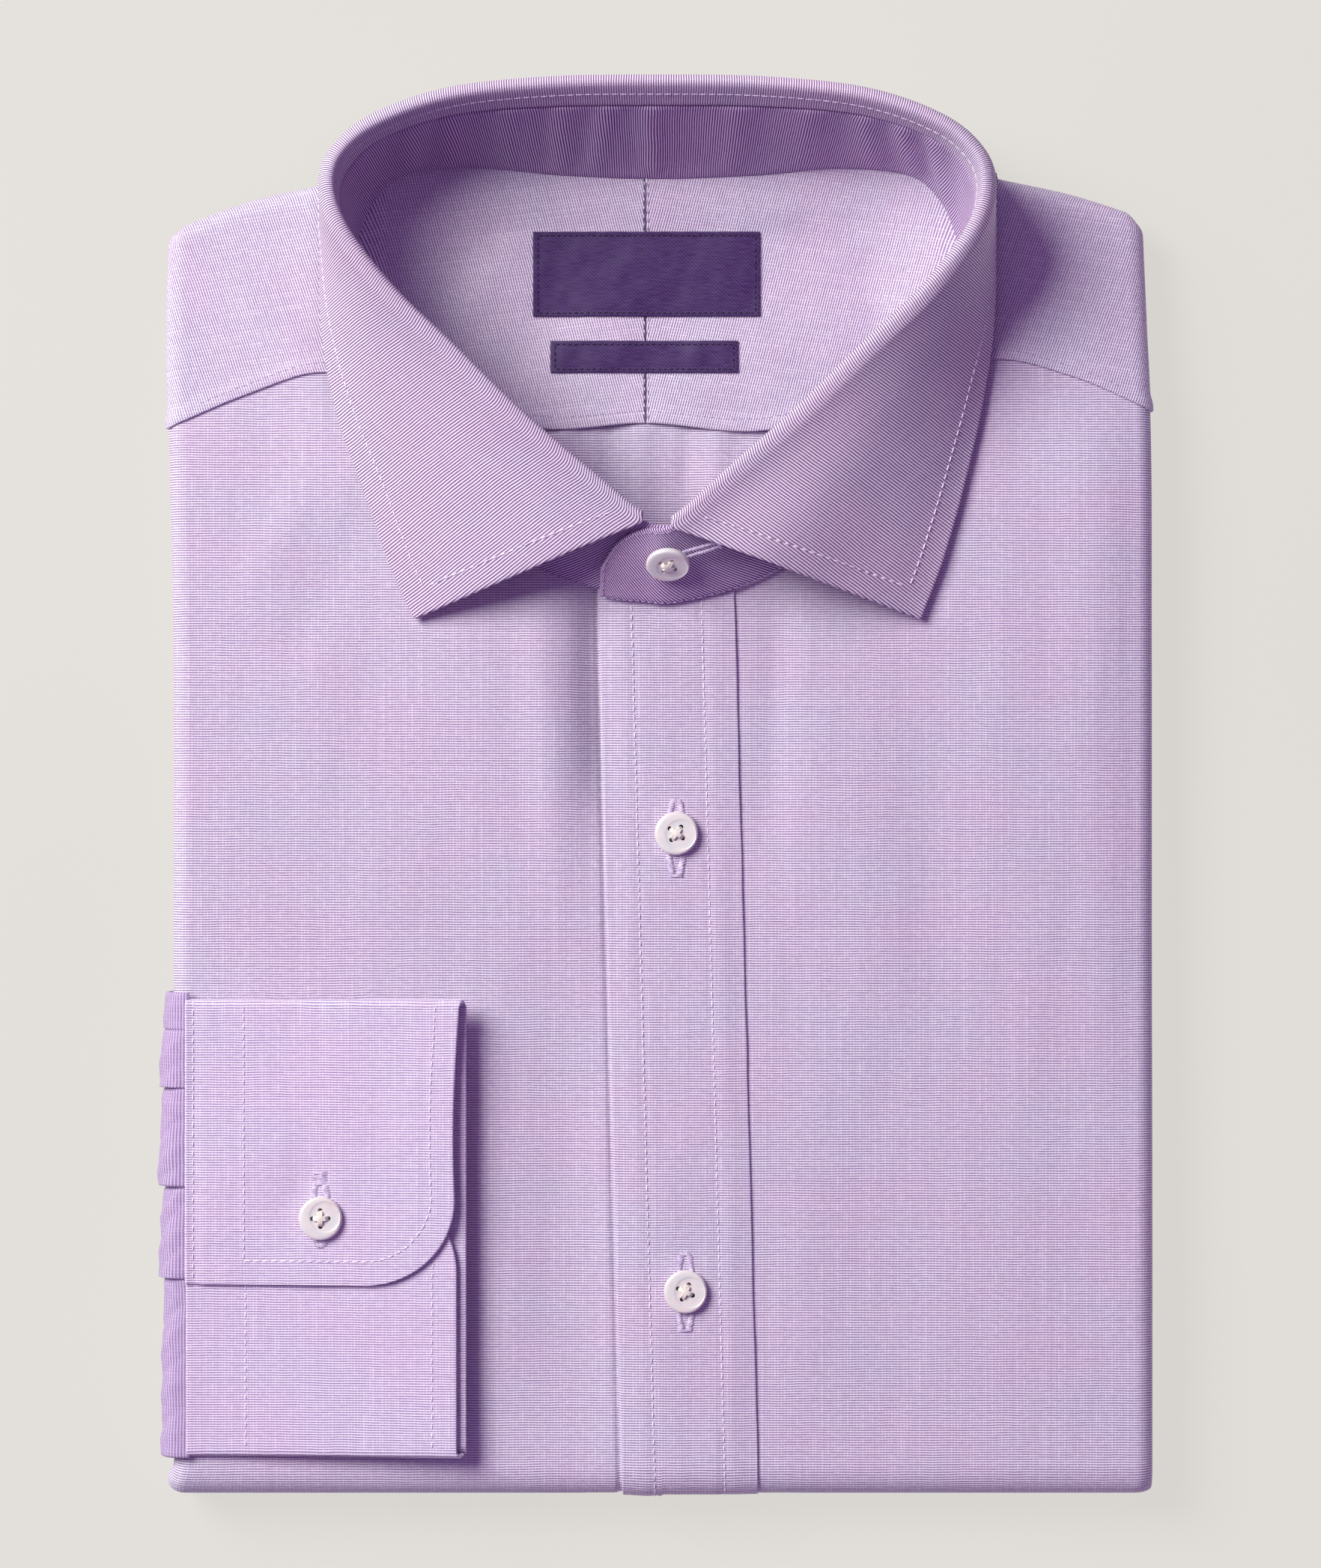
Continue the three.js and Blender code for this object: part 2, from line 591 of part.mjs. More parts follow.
// ---- the collar
const foldCurve = new THREE.CatmullRomCurve3(
  mirroredStations("foldX", "foldY", "foldZ"), false, "catmullrom", 0.5);
const edgeCurve = new THREE.CatmullRomCurve3(
  mirroredStations("edgeX", "edgeY", "edgeZ", LEFT_LEAF_IN), false, "catmullrom", 0.5);
const seamCurve = new THREE.CatmullRomCurve3(SEAM_POINTS, false, "catmullrom", 0.5);

// station runs from -LAST_STATION at the left front to LAST_STATION at the right front
function alongCollar(curve, station) {
  return curve.getPoint(clamp((station + LAST_STATION) / (2 * LAST_STATION), 0, 1));
}

// The height of what the collar lies on, with a margin kept all round the rounded shoulder.
function coverHeight(x, y, margin) {
  const line = shoulderLine(x);
  const start = line - SIDE_RADIUS;
  if (Math.abs(x) < 72 && y > 150) return -Infinity;
  if (y > line + margin) return -Infinity;
  const rest = restHeight(x, Math.min(y, start)) + margin;
  if (y <= start) return rest;
  const radius = SIDE_RADIUS + margin;
  return rest - radius + Math.sqrt(Math.max(0, radius * radius - (y - start) ** 2));
}

// The stand rests on the yoke and fronts, and over the placket at the front.
function seatHeight(x, y) {
  const overPlacket = 1 - ease(PLACKET_WIDTH / 2 + 1, PLACKET_WIDTH / 2 + 7, Math.abs(x - PLACKET_TOP_X));
  const atFront = 1 - ease(60, 75, y);
  return restHeight(x, y) + GAP + 0.75 + (CLOTH + GAP) * overPlacket * atFront;
}

function lapLift(station) {
  return LAP_LIFT * ease(LAST_STATION - 1.6, LAST_STATION - 0.5, station);
}

// How far the leaf's own cloth rises above the stand before it rolls over.
function rollHeight(station) {
  return lerp(ROLL_BACK, ROLL_FRONT, ease(4.2, 7.5, Math.abs(station)));
}

function standEnds(station) {
  const seam = alongCollar(seamCurve, station);
  const fold = alongCollar(foldCurve, station);
  seam.z = seatHeight(seam.x, seam.y);
  const rise = fold.clone().sub(seam).normalize();
  return { seam, top: fold.addScaledVector(rise, -rollHeight(station)) };
}

function extraRow(row) {
  const seam = new THREE.Vector3(row.seamX, row.seamY, seatHeight(row.seamX, row.seamY));
  return { seam, top: new THREE.Vector3(row.topX, row.topY, row.topZ) };
}

// The stand's middle surface: station past the last one runs into the laps.
const standRows = [];
for (let k = -LAST_STATION; k <= LAST_STATION; k++) standRows.push({ station: k, ...standEnds(k) });
standRows.unshift({ station: -LAST_STATION - 1, ...extraRow(STAND_UNDERLAP) });
STAND_LAP.forEach((row, i) => standRows.push({ station: LAST_STATION + 1 + i, ...extraRow(row) }));
const standSeam = new THREE.CatmullRomCurve3(standRows.map((r) => r.seam), false, "catmullrom", 0.5);
const standTop = new THREE.CatmullRomCurve3(standRows.map((r) => r.top), false, "catmullrom", 0.5);
const STAND_FIRST = standRows[0].station;
const STAND_LAST = standRows[standRows.length - 1].station;

function standMiddle(station, v) {
  const t = clamp((station - STAND_FIRST) / (STAND_LAST - STAND_FIRST), 0, 1);
  const seam = standSeam.getPoint(t);
  const top = standTop.getPoint(t);
  const lift = lapLift(station);
  const point = seam.lerp(top, v);
  // the lap lies outside the end that it covers
  return point.add(new THREE.Vector3(0, -0.66 * lift, 0.5 * lift));
}

const standStations = [...steps(STAND_FIRST + 0.01, STAND_LAST - 0.01, 50)];
add("collar_stand", thickWall(standStations, [0, 0.33, 0.66, 0.985], standMiddle, COLLAR_CLOTH), lilacDeep);

// The leaf: up from the stand's top edge, over the crest and down to its outer edge.
function leafPath(station) {
  const foot = standMiddle(station, 0);
  const top = standMiddle(station, 1);
  const rise = top.clone().sub(foot).normalize();
  const edge = alongCollar(edgeCurve, station);
  const start = top.clone().addScaledVector(rise, GAP);
  const crest = start.clone().addScaledVector(rise, rollHeight(station) - GAP);
  const along = standMiddle(station + 0.02, 1).sub(standMiddle(station - 0.02, 1));
  const away = rise.clone().cross(along).normalize();
  const up = new THREE.Vector3(0, 0, 1);
  const over = crest.clone().addScaledVector(away, ROLL_RADIUS).addScaledVector(rise, 0.8);
  const outer = crest.clone().addScaledVector(away, 2 * ROLL_RADIUS).addScaledVector(rise, -1);
  const near = outer.clone().lerp(edge, 0.33).addScaledVector(up, LEAF_BULGE * 0.9);
  const far = outer.clone().lerp(edge, 0.7).addScaledVector(up, LEAF_BULGE * 0.7);
  return new THREE.CatmullRomCurve3([start, crest, over, outer, near, far, edge], false, "catmullrom", 0.5);
}

const leafPaths = new Map();
function leafMiddle(station, v) {
  const key = station.toFixed(4);
  if (!leafPaths.has(key)) leafPaths.set(key, leafPath(station));
  const point = leafPaths.get(key).getPoint(clamp(v, 0, 1));
  const margin = GAP + COLLAR_CLOTH / 2 + 0.8;
  if (v > 0.5) point.z = Math.max(point.z, coverHeight(point.x, point.y, margin));
  return point;
}

const leafStations = steps(-LAST_STATION + 0.005, LAST_STATION - 0.005, 48);
const leafRows = [0, 0.12, 0.19, 0.26, 0.33, 0.4, 0.5, 0.6, 0.7, 0.78, 0.86, 0.93, 0.998];
add("collar_leaf", thickWall(leafStations, leafRows, leafMiddle, COLLAR_CLOTH), lilac);

// ---- the cuff: a strip wound from its inner end, under, round and over to the rounded lap
function cuffPath() {
  const low = CUFF.firstLayer + CLOTH / 2;
  const middle = low + CUFF_PITCH;
  const high = middle + CUFF_PITCH;
  const lowTurn = CUFF_PITCH / 2;
  const highTurn = CUFF_PITCH;
  const path = [];
  const push = (y, out, share) => path.push({ y, out, share });
  for (const y of steps(CUFF.innerEndY, CUFF.bottomY + lowTurn, 5)) push(y, middle, 0);
  for (const turn of steps(0, Math.PI, 6).slice(1, -1)) {
    push(
      CUFF.bottomY + lowTurn - lowTurn * Math.sin(turn),
      low + lowTurn + lowTurn * Math.cos(turn),
      0.3,
    );
  }
  for (const y of steps(CUFF.bottomY + lowTurn, CUFF.topY - highTurn, 7)) push(y, low, 1);
  for (const turn of steps(0, Math.PI, 7).slice(1, -1)) {
    push(
      CUFF.topY - highTurn + highTurn * Math.sin(turn),
      low + highTurn - highTurn * Math.cos(turn),
      1.5,
    );
  }
  for (const y of steps(CUFF.topY - highTurn, CUFF.lapY + CUFF.corner, 5)) push(y, high, 2);
  for (const turn of steps(0, Math.PI / 2, 6).slice(1)) {
    push(CUFF.lapY + CUFF.corner - CUFF.corner * Math.sin(turn), high, 2 + turn);
  }
  return path;
}

// The right edge of each layer: the under layer stands out, the lap has its round corner.
function cuffRight(row) {
  if (row.share < 1) return lerp(CUFF.right - 1, CUFF.underRight, row.share);
  if (row.share <= 2) return lerp(CUFF.underRight, CUFF.right, row.share - 1);
  return CUFF.right - CUFF.corner * (1 - Math.cos(row.share - 2));
}

function buildCuff() {
  const path = cuffPath();
  const rows = path.map((_, i) => i);
  return wallGeometry(steps(0, 1, 6), rows, (u, i, face) => {
    const here = path[i];
    const before = path[Math.max(i - 1, 0)];
    const after = path[Math.min(i + 1, path.length - 1)];
    const alongY = after.y - before.y;
    const alongOut = after.out - before.out;
    const length = Math.hypot(alongY, alongOut);
    const offset = (face - 0.5) * CLOTH;
    const narrow = here.share > 2 ? 0.9 * Math.sin(here.share - 2) : 0;
    const waist = 1.6 * Math.sin(clamp((CUFF.topY - here.y) / 70, 0, 1) * Math.PI) * (here.share >= 1.9 ? 1 : 0);
    const x = lerp(CUFF.left, cuffRight(here) - waist * ease(0.6, 1, u) - narrow, u);
    const y = here.y + (offset * alongOut) / length;
    const out = here.out - (offset * alongY) / length;
    return clothPoint(Math.max(x, CUFF.left), y, out);
  });
}
add("cuff", buildCuff(), lilac);

// ---- the sleeve end: out of the pack, up round the side fold and into the cuff
function pleatHeight(y) {
  let height = 0;
  for (const pleat of PLEATS) {
    const below = pleat.y - y;
    if (below > 0 && below < pleat.run) height = Math.max(height, pleat.height * (1 - below / pleat.run));
  }
  return height;
}

function buildSleeve() {
  const radius = SIDE_RADIUS + GAP + SLEEVE_CLOTH / 2;
  const pleatRows = PLEATS.flatMap((pleat) => [pleat.y + 0.4, pleat.y - 0.2, pleat.y - pleat.run]);
  const ys = [...steps(SLEEVE.bottomY, SLEEVE.topY, 14), ...pleatRows].sort((a, b) => b - a);
  const middleAt = (share, y) => {
    const axisX = -(sideEdge(-1, y) - SIDE_RADIUS);
    const axisZ = restHeight(axisX, y) - SIDE_RADIUS;
    const firstTurn = Math.asin((axisX - SLEEVE.end) / radius);
    const lastTurn = 2.3;
    if (share <= 1) {
      const turn = lerp(firstTurn, lastTurn, share);
      return new THREE.Vector3(axisX - radius * Math.sin(turn), y, axisZ + radius * Math.cos(turn));
    }
    const from = new THREE.Vector3(
      axisX - radius * Math.sin(lastTurn), y, axisZ + radius * Math.cos(lastTurn));
    const to = new THREE.Vector3(SLEEVE.tuck, y, SLEEVE.tuckZ);
    const bend = new THREE.Vector3(axisX - 1.5, y, SLEEVE.tuckZ + 0.1);
    return new THREE.QuadraticBezierCurve3(from, bend, to).getPoint(share - 1);
  };
  const shares = [...steps(0, 1, 8), 1.3, 1.6, 2];
  const small = 1e-3;
  return wallGeometry(shares, ys, (share, y, face) => {
    const here = middleAt(share, y);
    const tangent = middleAt(share + small, y).sub(middleAt(Math.max(share - small, 0), y));
    const normal = new THREE.Vector3(-tangent.z, 0, tangent.x).normalize();
    const rounded = Math.min(1, (SLEEVE.topY - y) / 1.5 + 0.45, (y - SLEEVE.bottomY) / 1.5 + 0.45);
    const half = (SLEEVE_CLOTH / 2) * rounded;
    const fade = 1 - ease(0.5, 1, share);
    const outward = half + pleatHeight(y) * fade;
    return here.addScaledVector(normal, face ? -outward : half);
  });
}
add("sleeve_end", buildSleeve(), lilac);

// ---- labels
function buildLabel(label) {
  return wallGeometry(steps(-0.5, 0.5, 8), steps(-0.5, 0.5, 3), (u, v, face) =>
    clothPoint(
      label.x + u * label.width,
      label.y + v * label.height,
      GAP + 0.15 + face * LABEL_CLOTH,
    ),
  );
}
for (const label of LABELS) add(label.name, buildLabel(label), purple);

// ---- buttons: turned discs with a raised rim, a dish and four holes
function toSolid(geometry) {
  const bare = geometry.clone();
  bare.deleteAttribute("normal");
  bare.deleteAttribute("uv");
  const merged = mergeVertices(bare, 1e-4);
  return new wasm.Manifold(
    new wasm.Mesh({
      numProp: 3,
      vertProperties: merged.getAttribute("position").array,
      triVerts: new Uint32Array(merged.index.array),
    }),
  );
}

function toGeometry(solid) {
  const mesh = solid.getMesh();
  const geometry = new THREE.BufferGeometry();
  geometry.setAttribute("position", new THREE.BufferAttribute(mesh.vertProperties, 3));
  geometry.setIndex(new THREE.BufferAttribute(mesh.triVerts, 1));
  return geometry;
}

function buttonGeometry() {
  const { radius, height, rim, dish } = BUTTON;
  const profile = [
    [0, 0], [radius - 1.1, 0], [radius - 0.2, 0.6], [radius, 1.2], [radius - 0.35, height - 0.2],
    [radius - rim, height], [radius - rim - 0.8, height - dish], [0, height - dish],
  ].map(([r, z]) => new THREE.Vector2(r, z));
  const disc = new THREE.LatheGeometry(profile, 28).rotateX(Math.PI / 2);
  let solid = toSolid(disc);
  const half = BUTTON.holePitch / 2;
  for (const [sx, sy] of [[1, 1], [1, -1], [-1, 1], [-1, -1]]) {
    const drill = new THREE.CylinderGeometry(BUTTON.holeRadius, BUTTON.holeRadius, 3 * height, 8)
      .rotateX(Math.PI / 2)
      .translate(sx * half, sy * half, height / 2);
    solid = solid.subtract(toSolid(drill));
  }
  return toGeometry(solid);
}
const buttonShape = buttonGeometry();

for (const place of FRONT_BUTTONS) {
  const button = add(place.name, buttonShape, pearl);
  const seat = clothPoint(place.x, place.y, GAP + CLOTH + GAP + 0.05);
  button.position.copy(seat);
}

const cuffButton = add("button_cuff", buttonShape, pearl);
cuffButton.position.copy(
  clothPoint(CUFF_BUTTON.x, CUFF_BUTTON.y, CUFF.firstLayer + 3 * CLOTH + 2 * GAP + GAP + 0.05),
);

const collarButton = add("button_collar", buttonShape, pearl);
{
  const small = 0.05;
  const { station, up } = COLLAR_BUTTON;
  const seat = standMiddle(station, up);
  const along = standMiddle(station + small, up).sub(standMiddle(station - small, up)).negate();
  const rise = standMiddle(station, up + small).sub(standMiddle(station, up - small));
  const normal = along.clone().cross(rise).normalize();
  seat.addScaledVector(normal, COLLAR_CLOTH / 2 + GAP + 0.35);
  const across = along.normalize();
  const upward = normal.clone().cross(across);
  collarButton.quaternion.setFromRotationMatrix(new THREE.Matrix4().makeBasis(across, upward, normal));
  collarButton.position.copy(seat);
}

// ---- the origin is under the middle of the whole part, on the table
shirt.updateMatrixWorld(true);
const box = new THREE.Box3().setFromObject(shirt, true);
const centre = box.getCenter(new THREE.Vector3());
shirt.position.set(-centre.x, -centre.y, -box.min.z);

export default shirt;
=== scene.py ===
# %% [markdown]
# # A folded long sleeve dress shirt
# The shirt lies on its back, folded for the shelf, and the camera looks straight down on it.
# This lesson dresses a plain model of it, piece by piece, as a shirt maker would sew it.
# All sizes are in millimetres and are turned into metres when a mesh is made.

# %% Load the model
import math
import bpy
import bmesh
import numpy as np
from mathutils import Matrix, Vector


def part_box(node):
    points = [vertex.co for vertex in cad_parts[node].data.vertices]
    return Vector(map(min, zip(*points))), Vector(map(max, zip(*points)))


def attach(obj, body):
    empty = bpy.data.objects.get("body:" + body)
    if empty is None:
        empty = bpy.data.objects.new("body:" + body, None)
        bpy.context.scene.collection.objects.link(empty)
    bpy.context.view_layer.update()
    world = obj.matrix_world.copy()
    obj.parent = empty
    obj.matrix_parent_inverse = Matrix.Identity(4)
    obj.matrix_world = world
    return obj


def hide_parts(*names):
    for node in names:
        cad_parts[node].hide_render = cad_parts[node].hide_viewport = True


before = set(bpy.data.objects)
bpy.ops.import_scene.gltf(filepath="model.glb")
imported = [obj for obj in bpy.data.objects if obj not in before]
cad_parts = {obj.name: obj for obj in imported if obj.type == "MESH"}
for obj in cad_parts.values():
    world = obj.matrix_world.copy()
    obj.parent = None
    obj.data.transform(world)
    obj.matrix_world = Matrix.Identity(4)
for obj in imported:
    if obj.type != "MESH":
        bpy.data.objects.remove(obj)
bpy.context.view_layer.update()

# %% [markdown]
# ## Where things are
# The pattern has its own origin, in the middle of the photograph. One button of the model shows
# where that origin went, so every piece can be drawn in pattern millimetres.

# %% The pattern's origin
UPPER_BUTTON = (4.0, -12.5)
LOWER_BUTTON = (6.3, -128.6)
CUFF_BUTTON = (-85.8, -109.6)
button_low, button_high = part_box("button_front_upper")
ORIGIN = np.array([
    (button_low[0] + button_high[0]) / 2 - UPPER_BUTTON[0] / 1000,
    (button_low[1] + button_high[1]) / 2 - UPPER_BUTTON[1] / 1000,
    0.0,
])
print("pattern origin in metres:", ORIGIN.round(5))


def metres(points):
    return np.asarray(points, dtype=float) / 1000 + ORIGIN


# %% [markdown]
# ## Small helpers
# An eased step, a smooth curve through the rows of a table, and a smooth curve through points are
# all that the shapes below are made from.

# %% Helpers for shapes
def ease(start, end, value):
    share = np.clip((np.asarray(value, dtype=float) - start) / (end - start), 0, 1)
    return share * share * (3 - 2 * share)


def mix(first, second, share):
    return first + (second - first) * share


def read_rows(rows, column, value):
    """A smooth curve through one column of a table, read at values of its first column."""
    rows = np.asarray(rows, dtype=float)
    keys, values = rows[:, 0], rows[:, column]
    slopes = np.gradient(values, keys)
    slopes[1:-1] = (values[2:] - values[:-2]) / (keys[2:] - keys[:-2])
    value = np.asarray(value, dtype=float)
    i = np.clip(np.searchsorted(keys, value, side="right") - 1, 0, len(keys) - 2)
    span = keys[i + 1] - keys[i]
    t = np.clip((value - keys[i]) / span, 0, 1)
    bend = t * (1 - t) * ((1 - t) * slopes[i] - t * slopes[i + 1]) * span
    return mix(values[i], values[i + 1], t * t * (3 - 2 * t)) + bend


def smooth_curve(knots, place):
    """Points on a smooth curve through the knots; place runs from 0 to the last knot's number."""
    knots = np.asarray(knots, dtype=float)
    ends = [2 * knots[0] - knots[1], 2 * knots[-1] - knots[-2]]
    padded = np.concatenate([ends[:1], knots, ends[1:]])
    place = np.clip(np.asarray(place, dtype=float), 0, len(knots) - 1)
    i = np.minimum(place.astype(int), len(knots) - 2)
    t = (place - i).reshape(place.shape + (1,) * (knots.ndim - 1))
    a, b, c, d = padded[i], padded[i + 1], padded[i + 2], padded[i + 3]
    return 0.5 * (2 * b + (c - a) * t + (2 * a - 5 * b + 4 * c - d) * t**2
                  + (3 * b - a - 3 * c + d) * t**3)


def spread(start, end, step, fine=0.25):
    """Even places from start to end, with a few close ones at both ends for a rounded rim."""
    count = max(2, int(round(abs(end - start) / step)))
    even = np.linspace(start, end, count + 1)
    sign = 1 if end > start else -1
    rims = []
    for gap in (0.5 * fine, fine, 2 * fine):
        rims += [start + sign * gap, end - sign * gap]
    inside = [value for value in even[1:-1] if abs(value - start) > 2.5 * fine < abs(value - end)]
    return np.array(sorted([start, end, *rims, *inside], reverse=bool(end < start)))


def walked_along(points, axis=0):
    """Distance walked along one axis of a row or grid of points, from its first point."""
    steps = np.linalg.norm(np.diff(points, axis=axis), axis=-1)
    start = np.zeros_like(np.take(steps, [0], axis=axis))
    return np.concatenate([start, np.cumsum(steps, axis=axis)], axis=axis)


def ripple(x, y, seed, size, octaves=3):
    """Smooth uneven noise from a few crossed sine waves, between about -1 and 1."""
    random = np.random.default_rng(seed)
    total = np.zeros(np.broadcast(x, y).shape)
    for octave in range(octaves):
        for _ in range(4):
            angle, phase = random.uniform(0, 2 * math.pi, 2)
            length = size / 1.9**octave * random.uniform(0.75, 1.3)
            travel = (x * math.cos(angle) + y * math.sin(angle)) / length
            total = total + np.sin(2 * math.pi * travel + phase) / 1.8**octave
    return total / 6


# %% [markdown]
# ## Colours and finishes
# A photograph's colours are display values, and Blender mixes light in linear values, so every
# colour goes through one conversion. Shader maths is written as plain expressions: a Signal is a
# value travelling through a material, and adding or multiplying two of them adds the nodes.

# %% Colours
def paint(red, green, blue):
    """A display colour, 0 to 255, as the linear colour that Blender mixes."""
    def linear(value):
        value = value / 255
        return value / 12.92 if value <= 0.04045 else ((value + 0.055) / 1.055) ** 2.4
    return (linear(red), linear(green), linear(blue), 1.0)


class Signal:
    """A socket of one finish's node tree, with the usual operators."""

    def __init__(self, finish, socket):
        self.finish, self.socket = finish, socket

    def maths(self, operation, *values):
        return self.finish.node("ShaderNodeMath", {"operation": operation}, *values)

    def __add__(self, other):
        return self.maths("ADD", self, other)

    def __sub__(self, other):
        return self.maths("SUBTRACT", self, other)

    def __rsub__(self, other):
        return self.maths("SUBTRACT", other, self)

    def __mul__(self, other):
        return self.maths("MULTIPLY", self, other)

    def __truediv__(self, other):
        return self.maths("DIVIDE", self, other)

    def __rtruediv__(self, other):
        return self.maths("DIVIDE", other, self)

    __radd__ = __add__
    __rmul__ = __mul__

    def cosine(self):
        return self.maths("COSINE", self)

    def smooth(self, low, high, to_low=0.0, to_high=1.0):
        settings = {"interpolation_type": "SMOOTHSTEP"}
        return self.finish.node("ShaderNodeMapRange", settings, self, low, high, to_low, to_high)


class Finish:
    """A material with one Principled shader, and a short way to add nodes to it."""

    def __init__(self, name, **constants):
        self.material = bpy.data.materials.new(name)
        self.material.use_nodes = True
        self.tree = self.material.node_tree
        self.shader = self.tree.nodes["Principled BSDF"]
        for socket, value in constants.items():
            self.shader.inputs[socket.replace("_", " ")].default_value = value

    def connect(self, socket, value):
        if isinstance(value, Signal):
            self.tree.links.new(value.socket, socket)
        else:
            socket.default_value = value

    def node(self, kind, settings=None, *values, output=0, **named):
        """Adds a node, sets it up, then fills its sockets in order or by name."""
        made = self.tree.nodes.new(kind)
        for setting, value in (settings or {}).items():
            if setting == "stops":
                for stop, (place, color) in zip(made.color_ramp.elements, value):
                    stop.position, stop.color = place, color
            else:
                setattr(made, setting, value)
        open_sockets = [socket for socket in made.inputs if socket.enabled]
        for socket, value in zip(open_sockets, values):
            self.connect(socket, value)
        for name, value in named.items():
            socket = next(s for s in open_sockets if s.name == name.replace("_", " "))
            self.connect(socket, value)
        outputs = [socket for socket in made.outputs if socket.enabled]
        return Signal(self, outputs[output])

    def blend_colors(self, first, second, share, how="MIX"):
        settings = {"data_type": "RGBA", "blend_type": how}
        return self.node("ShaderNodeMix", settings, share, first, second)

    def noise(self, place, scale, detail=2.0, roughness=0.5):
        return self.node("ShaderNodeTexNoise", {}, Vector=place, Scale=scale, Detail=detail,
                         Roughness=roughness)

    def pattern_places(self):
        """Pattern coordinates along and across the stripe, in millimetres."""
        pattern = self.node("ShaderNodeUVMap", {"uv_map": "pattern"})
        return [self.node("ShaderNodeSeparateXYZ", {}, pattern, output=axis) for axis in (0, 1)]

    def feed(self, **signals):
        for socket, signal in signals.items():
            self.connect(self.shader.inputs[socket.replace("_", " ")], signal)


# %% [markdown]
# ## The cloth
# The shirting is woven end on end: a light thread and a purple thread take turns, 0.6 mm to
# a pair, so close up it is a fine stripe and from a step away a soft lilac. The threads that cross
# them are uneven, which breaks the dark rows into dashes and leaves faint streaks. Each piece
# carries its own pattern coordinates in millimetres, along and across the stripe, so the stripe
# turns with the cut of the piece, as it does on a real collar or yoke.

# %% Woven cloth
STRIPE = 0.62
CROSS_THREAD = 0.8
TURN = 2 * math.pi
LIGHT_THREAD = paint(245, 238, 247)
PURPLE_THREAD = paint(157, 133, 175)
PINK_TINT = (1.0, 0.93, 0.985, 1.0)
BLUE_TINT = (0.945, 0.97, 1.0, 1.0)


def woven_cloth(name, light=LIGHT_THREAD, dark=PURPLE_THREAD, dashes=0.6, rows=(-0.75, 0.7), seed=0.0):
    cloth = Finish(name, Roughness=0.88, Sheen_Weight=0.12, Sheen_Roughness=0.45,
                   Specular_IOR_Level=0.2)
    along, across = cloth.pattern_places()

    def place(x_scale, y_scale, offset=0.0):
        return cloth.node("ShaderNodeCombineXYZ", {}, along * x_scale, across * y_scale, seed + offset)

    wander = cloth.noise(place(0.03, 0.05), 1.0) + cloth.noise(place(0.11, 0.07, 5.0), 1.0) * 0.8 - 0.9
    streaks = cloth.noise(place(1.0, 0.012, 3.0), 1.0, detail=4.0, roughness=0.62)
    slubs = cloth.noise(place(0.012, 0.8, 7.0), 1.0, detail=3.0)
    row = (across / STRIPE + wander * 0.9) * TURN
    thread = row.cosine().smooth(*rows)
    beat = (along / CROSS_THREAD * TURN + streaks * 8.0).cosine().smooth(-0.3, 0.9)
    flecks = cloth.noise(place(0.5, 0.9, 17.0), 1.0, detail=2.0).smooth(0.3, 0.7)
    broken = beat * flecks * dashes
    patches = cloth.noise(place(0.028, 0.04, 11.0), 1.0, detail=4.0, roughness=0.6).smooth(0.34, 0.66)

    pink = cloth.blend_colors(light, PINK_TINT, 1.0, "MULTIPLY")
    blue = cloth.blend_colors(light, BLUE_TINT, 1.0, "MULTIPLY")
    light_rows = cloth.blend_colors(pink, blue, patches)
    dark_rows = cloth.blend_colors(dark, light_rows, broken)
    woven = cloth.blend_colors(dark_rows, light_rows, thread)
    shade = streaks.smooth(0.3, 0.75, 0.975, 1.025) * slubs.smooth(0.3, 0.7, 0.98, 1.02)
    toned = cloth.node("ShaderNodeVectorMath", {"operation": "SCALE"}, woven, Scale=shade)
    height = thread * 1.0 + beat * 0.22 + streaks * 0.25
    bump = cloth.node("ShaderNodeBump", {}, Strength=1.0, Distance=0.00008, Height=height)
    cloth.feed(Base_Color=toned, Normal=bump, Roughness=thread.smooth(0, 1, 0.92, 0.82))
    return cloth.material


shirting = woven_cloth("shirting")
# the cuff's cloth is a lighter copy of the shirting: painted light, for the extra light the tilted cuff
# catches
cuff_shirting_painted_light = woven_cloth("cuff_shirting_painted_light", paint(249, 240, 252), paint(166, 142, 187), seed=20.0)
# the leaf's cloth has stronger stripe contrast than the body's: its darker purple rows are painted shade, for
# the shade between the threads on the collar's shaded side
leaf_shirting_painted_shade = woven_cloth("leaf_shirting_painted_shade", paint(250, 236, 249), paint(114, 86, 134),
                            dashes=0.2, rows=(-0.85, 0.5), seed=40.0)
# the stand's cloth is a darker copy of the shirting with deep purple rows: painted shade, for the shade
# inside the collar
stand_shirting_painted_shade = woven_cloth("stand_shirting_painted_shade", paint(244, 218, 248), paint(82, 50, 112),
                             dashes=0.1, rows=(-0.8, 0.6), seed=60.0)
# the sleeve end's cloth is a darker, softer copy of the shirting: painted shade over the crinkled strip at
# the side fold
sleeve_shirting_painted_shade = woven_cloth("sleeve_shirting_painted_shade", paint(208, 190, 219), paint(152, 128, 172), seed=80.0)
print("made", [material.name for material in bpy.data.materials if "shirting" in material.name])

# %% [markdown]
# ## The lie of the cloth
# The neck seam is where the collar is sewn on. Outside it the cloth lies on the folded pack, and
# inside it sinks to the back of the neck. One height field gives the whole top, and every panel
# reads it, so panels meet exactly where they are sewn.

# %% Sizes of the folded pack
BODY_TOP = 20
SIDE_RADIUS = 4.5
SIDE_TURN = 2.05
TAIL_RADIUS = BODY_TOP / 2
TAIL_AXIS_Y = -170.8
TAIL_HEM_Y = 116
SHOULDER_TURN = 1.9
# how square the tail fold is pressed: 2 would be a round fold
PRESSED = 3.1
NECK_X, NECK_Y = -0.8, 103
BACK_SEAM_X = -3.7
BOWL_Z = 9.5

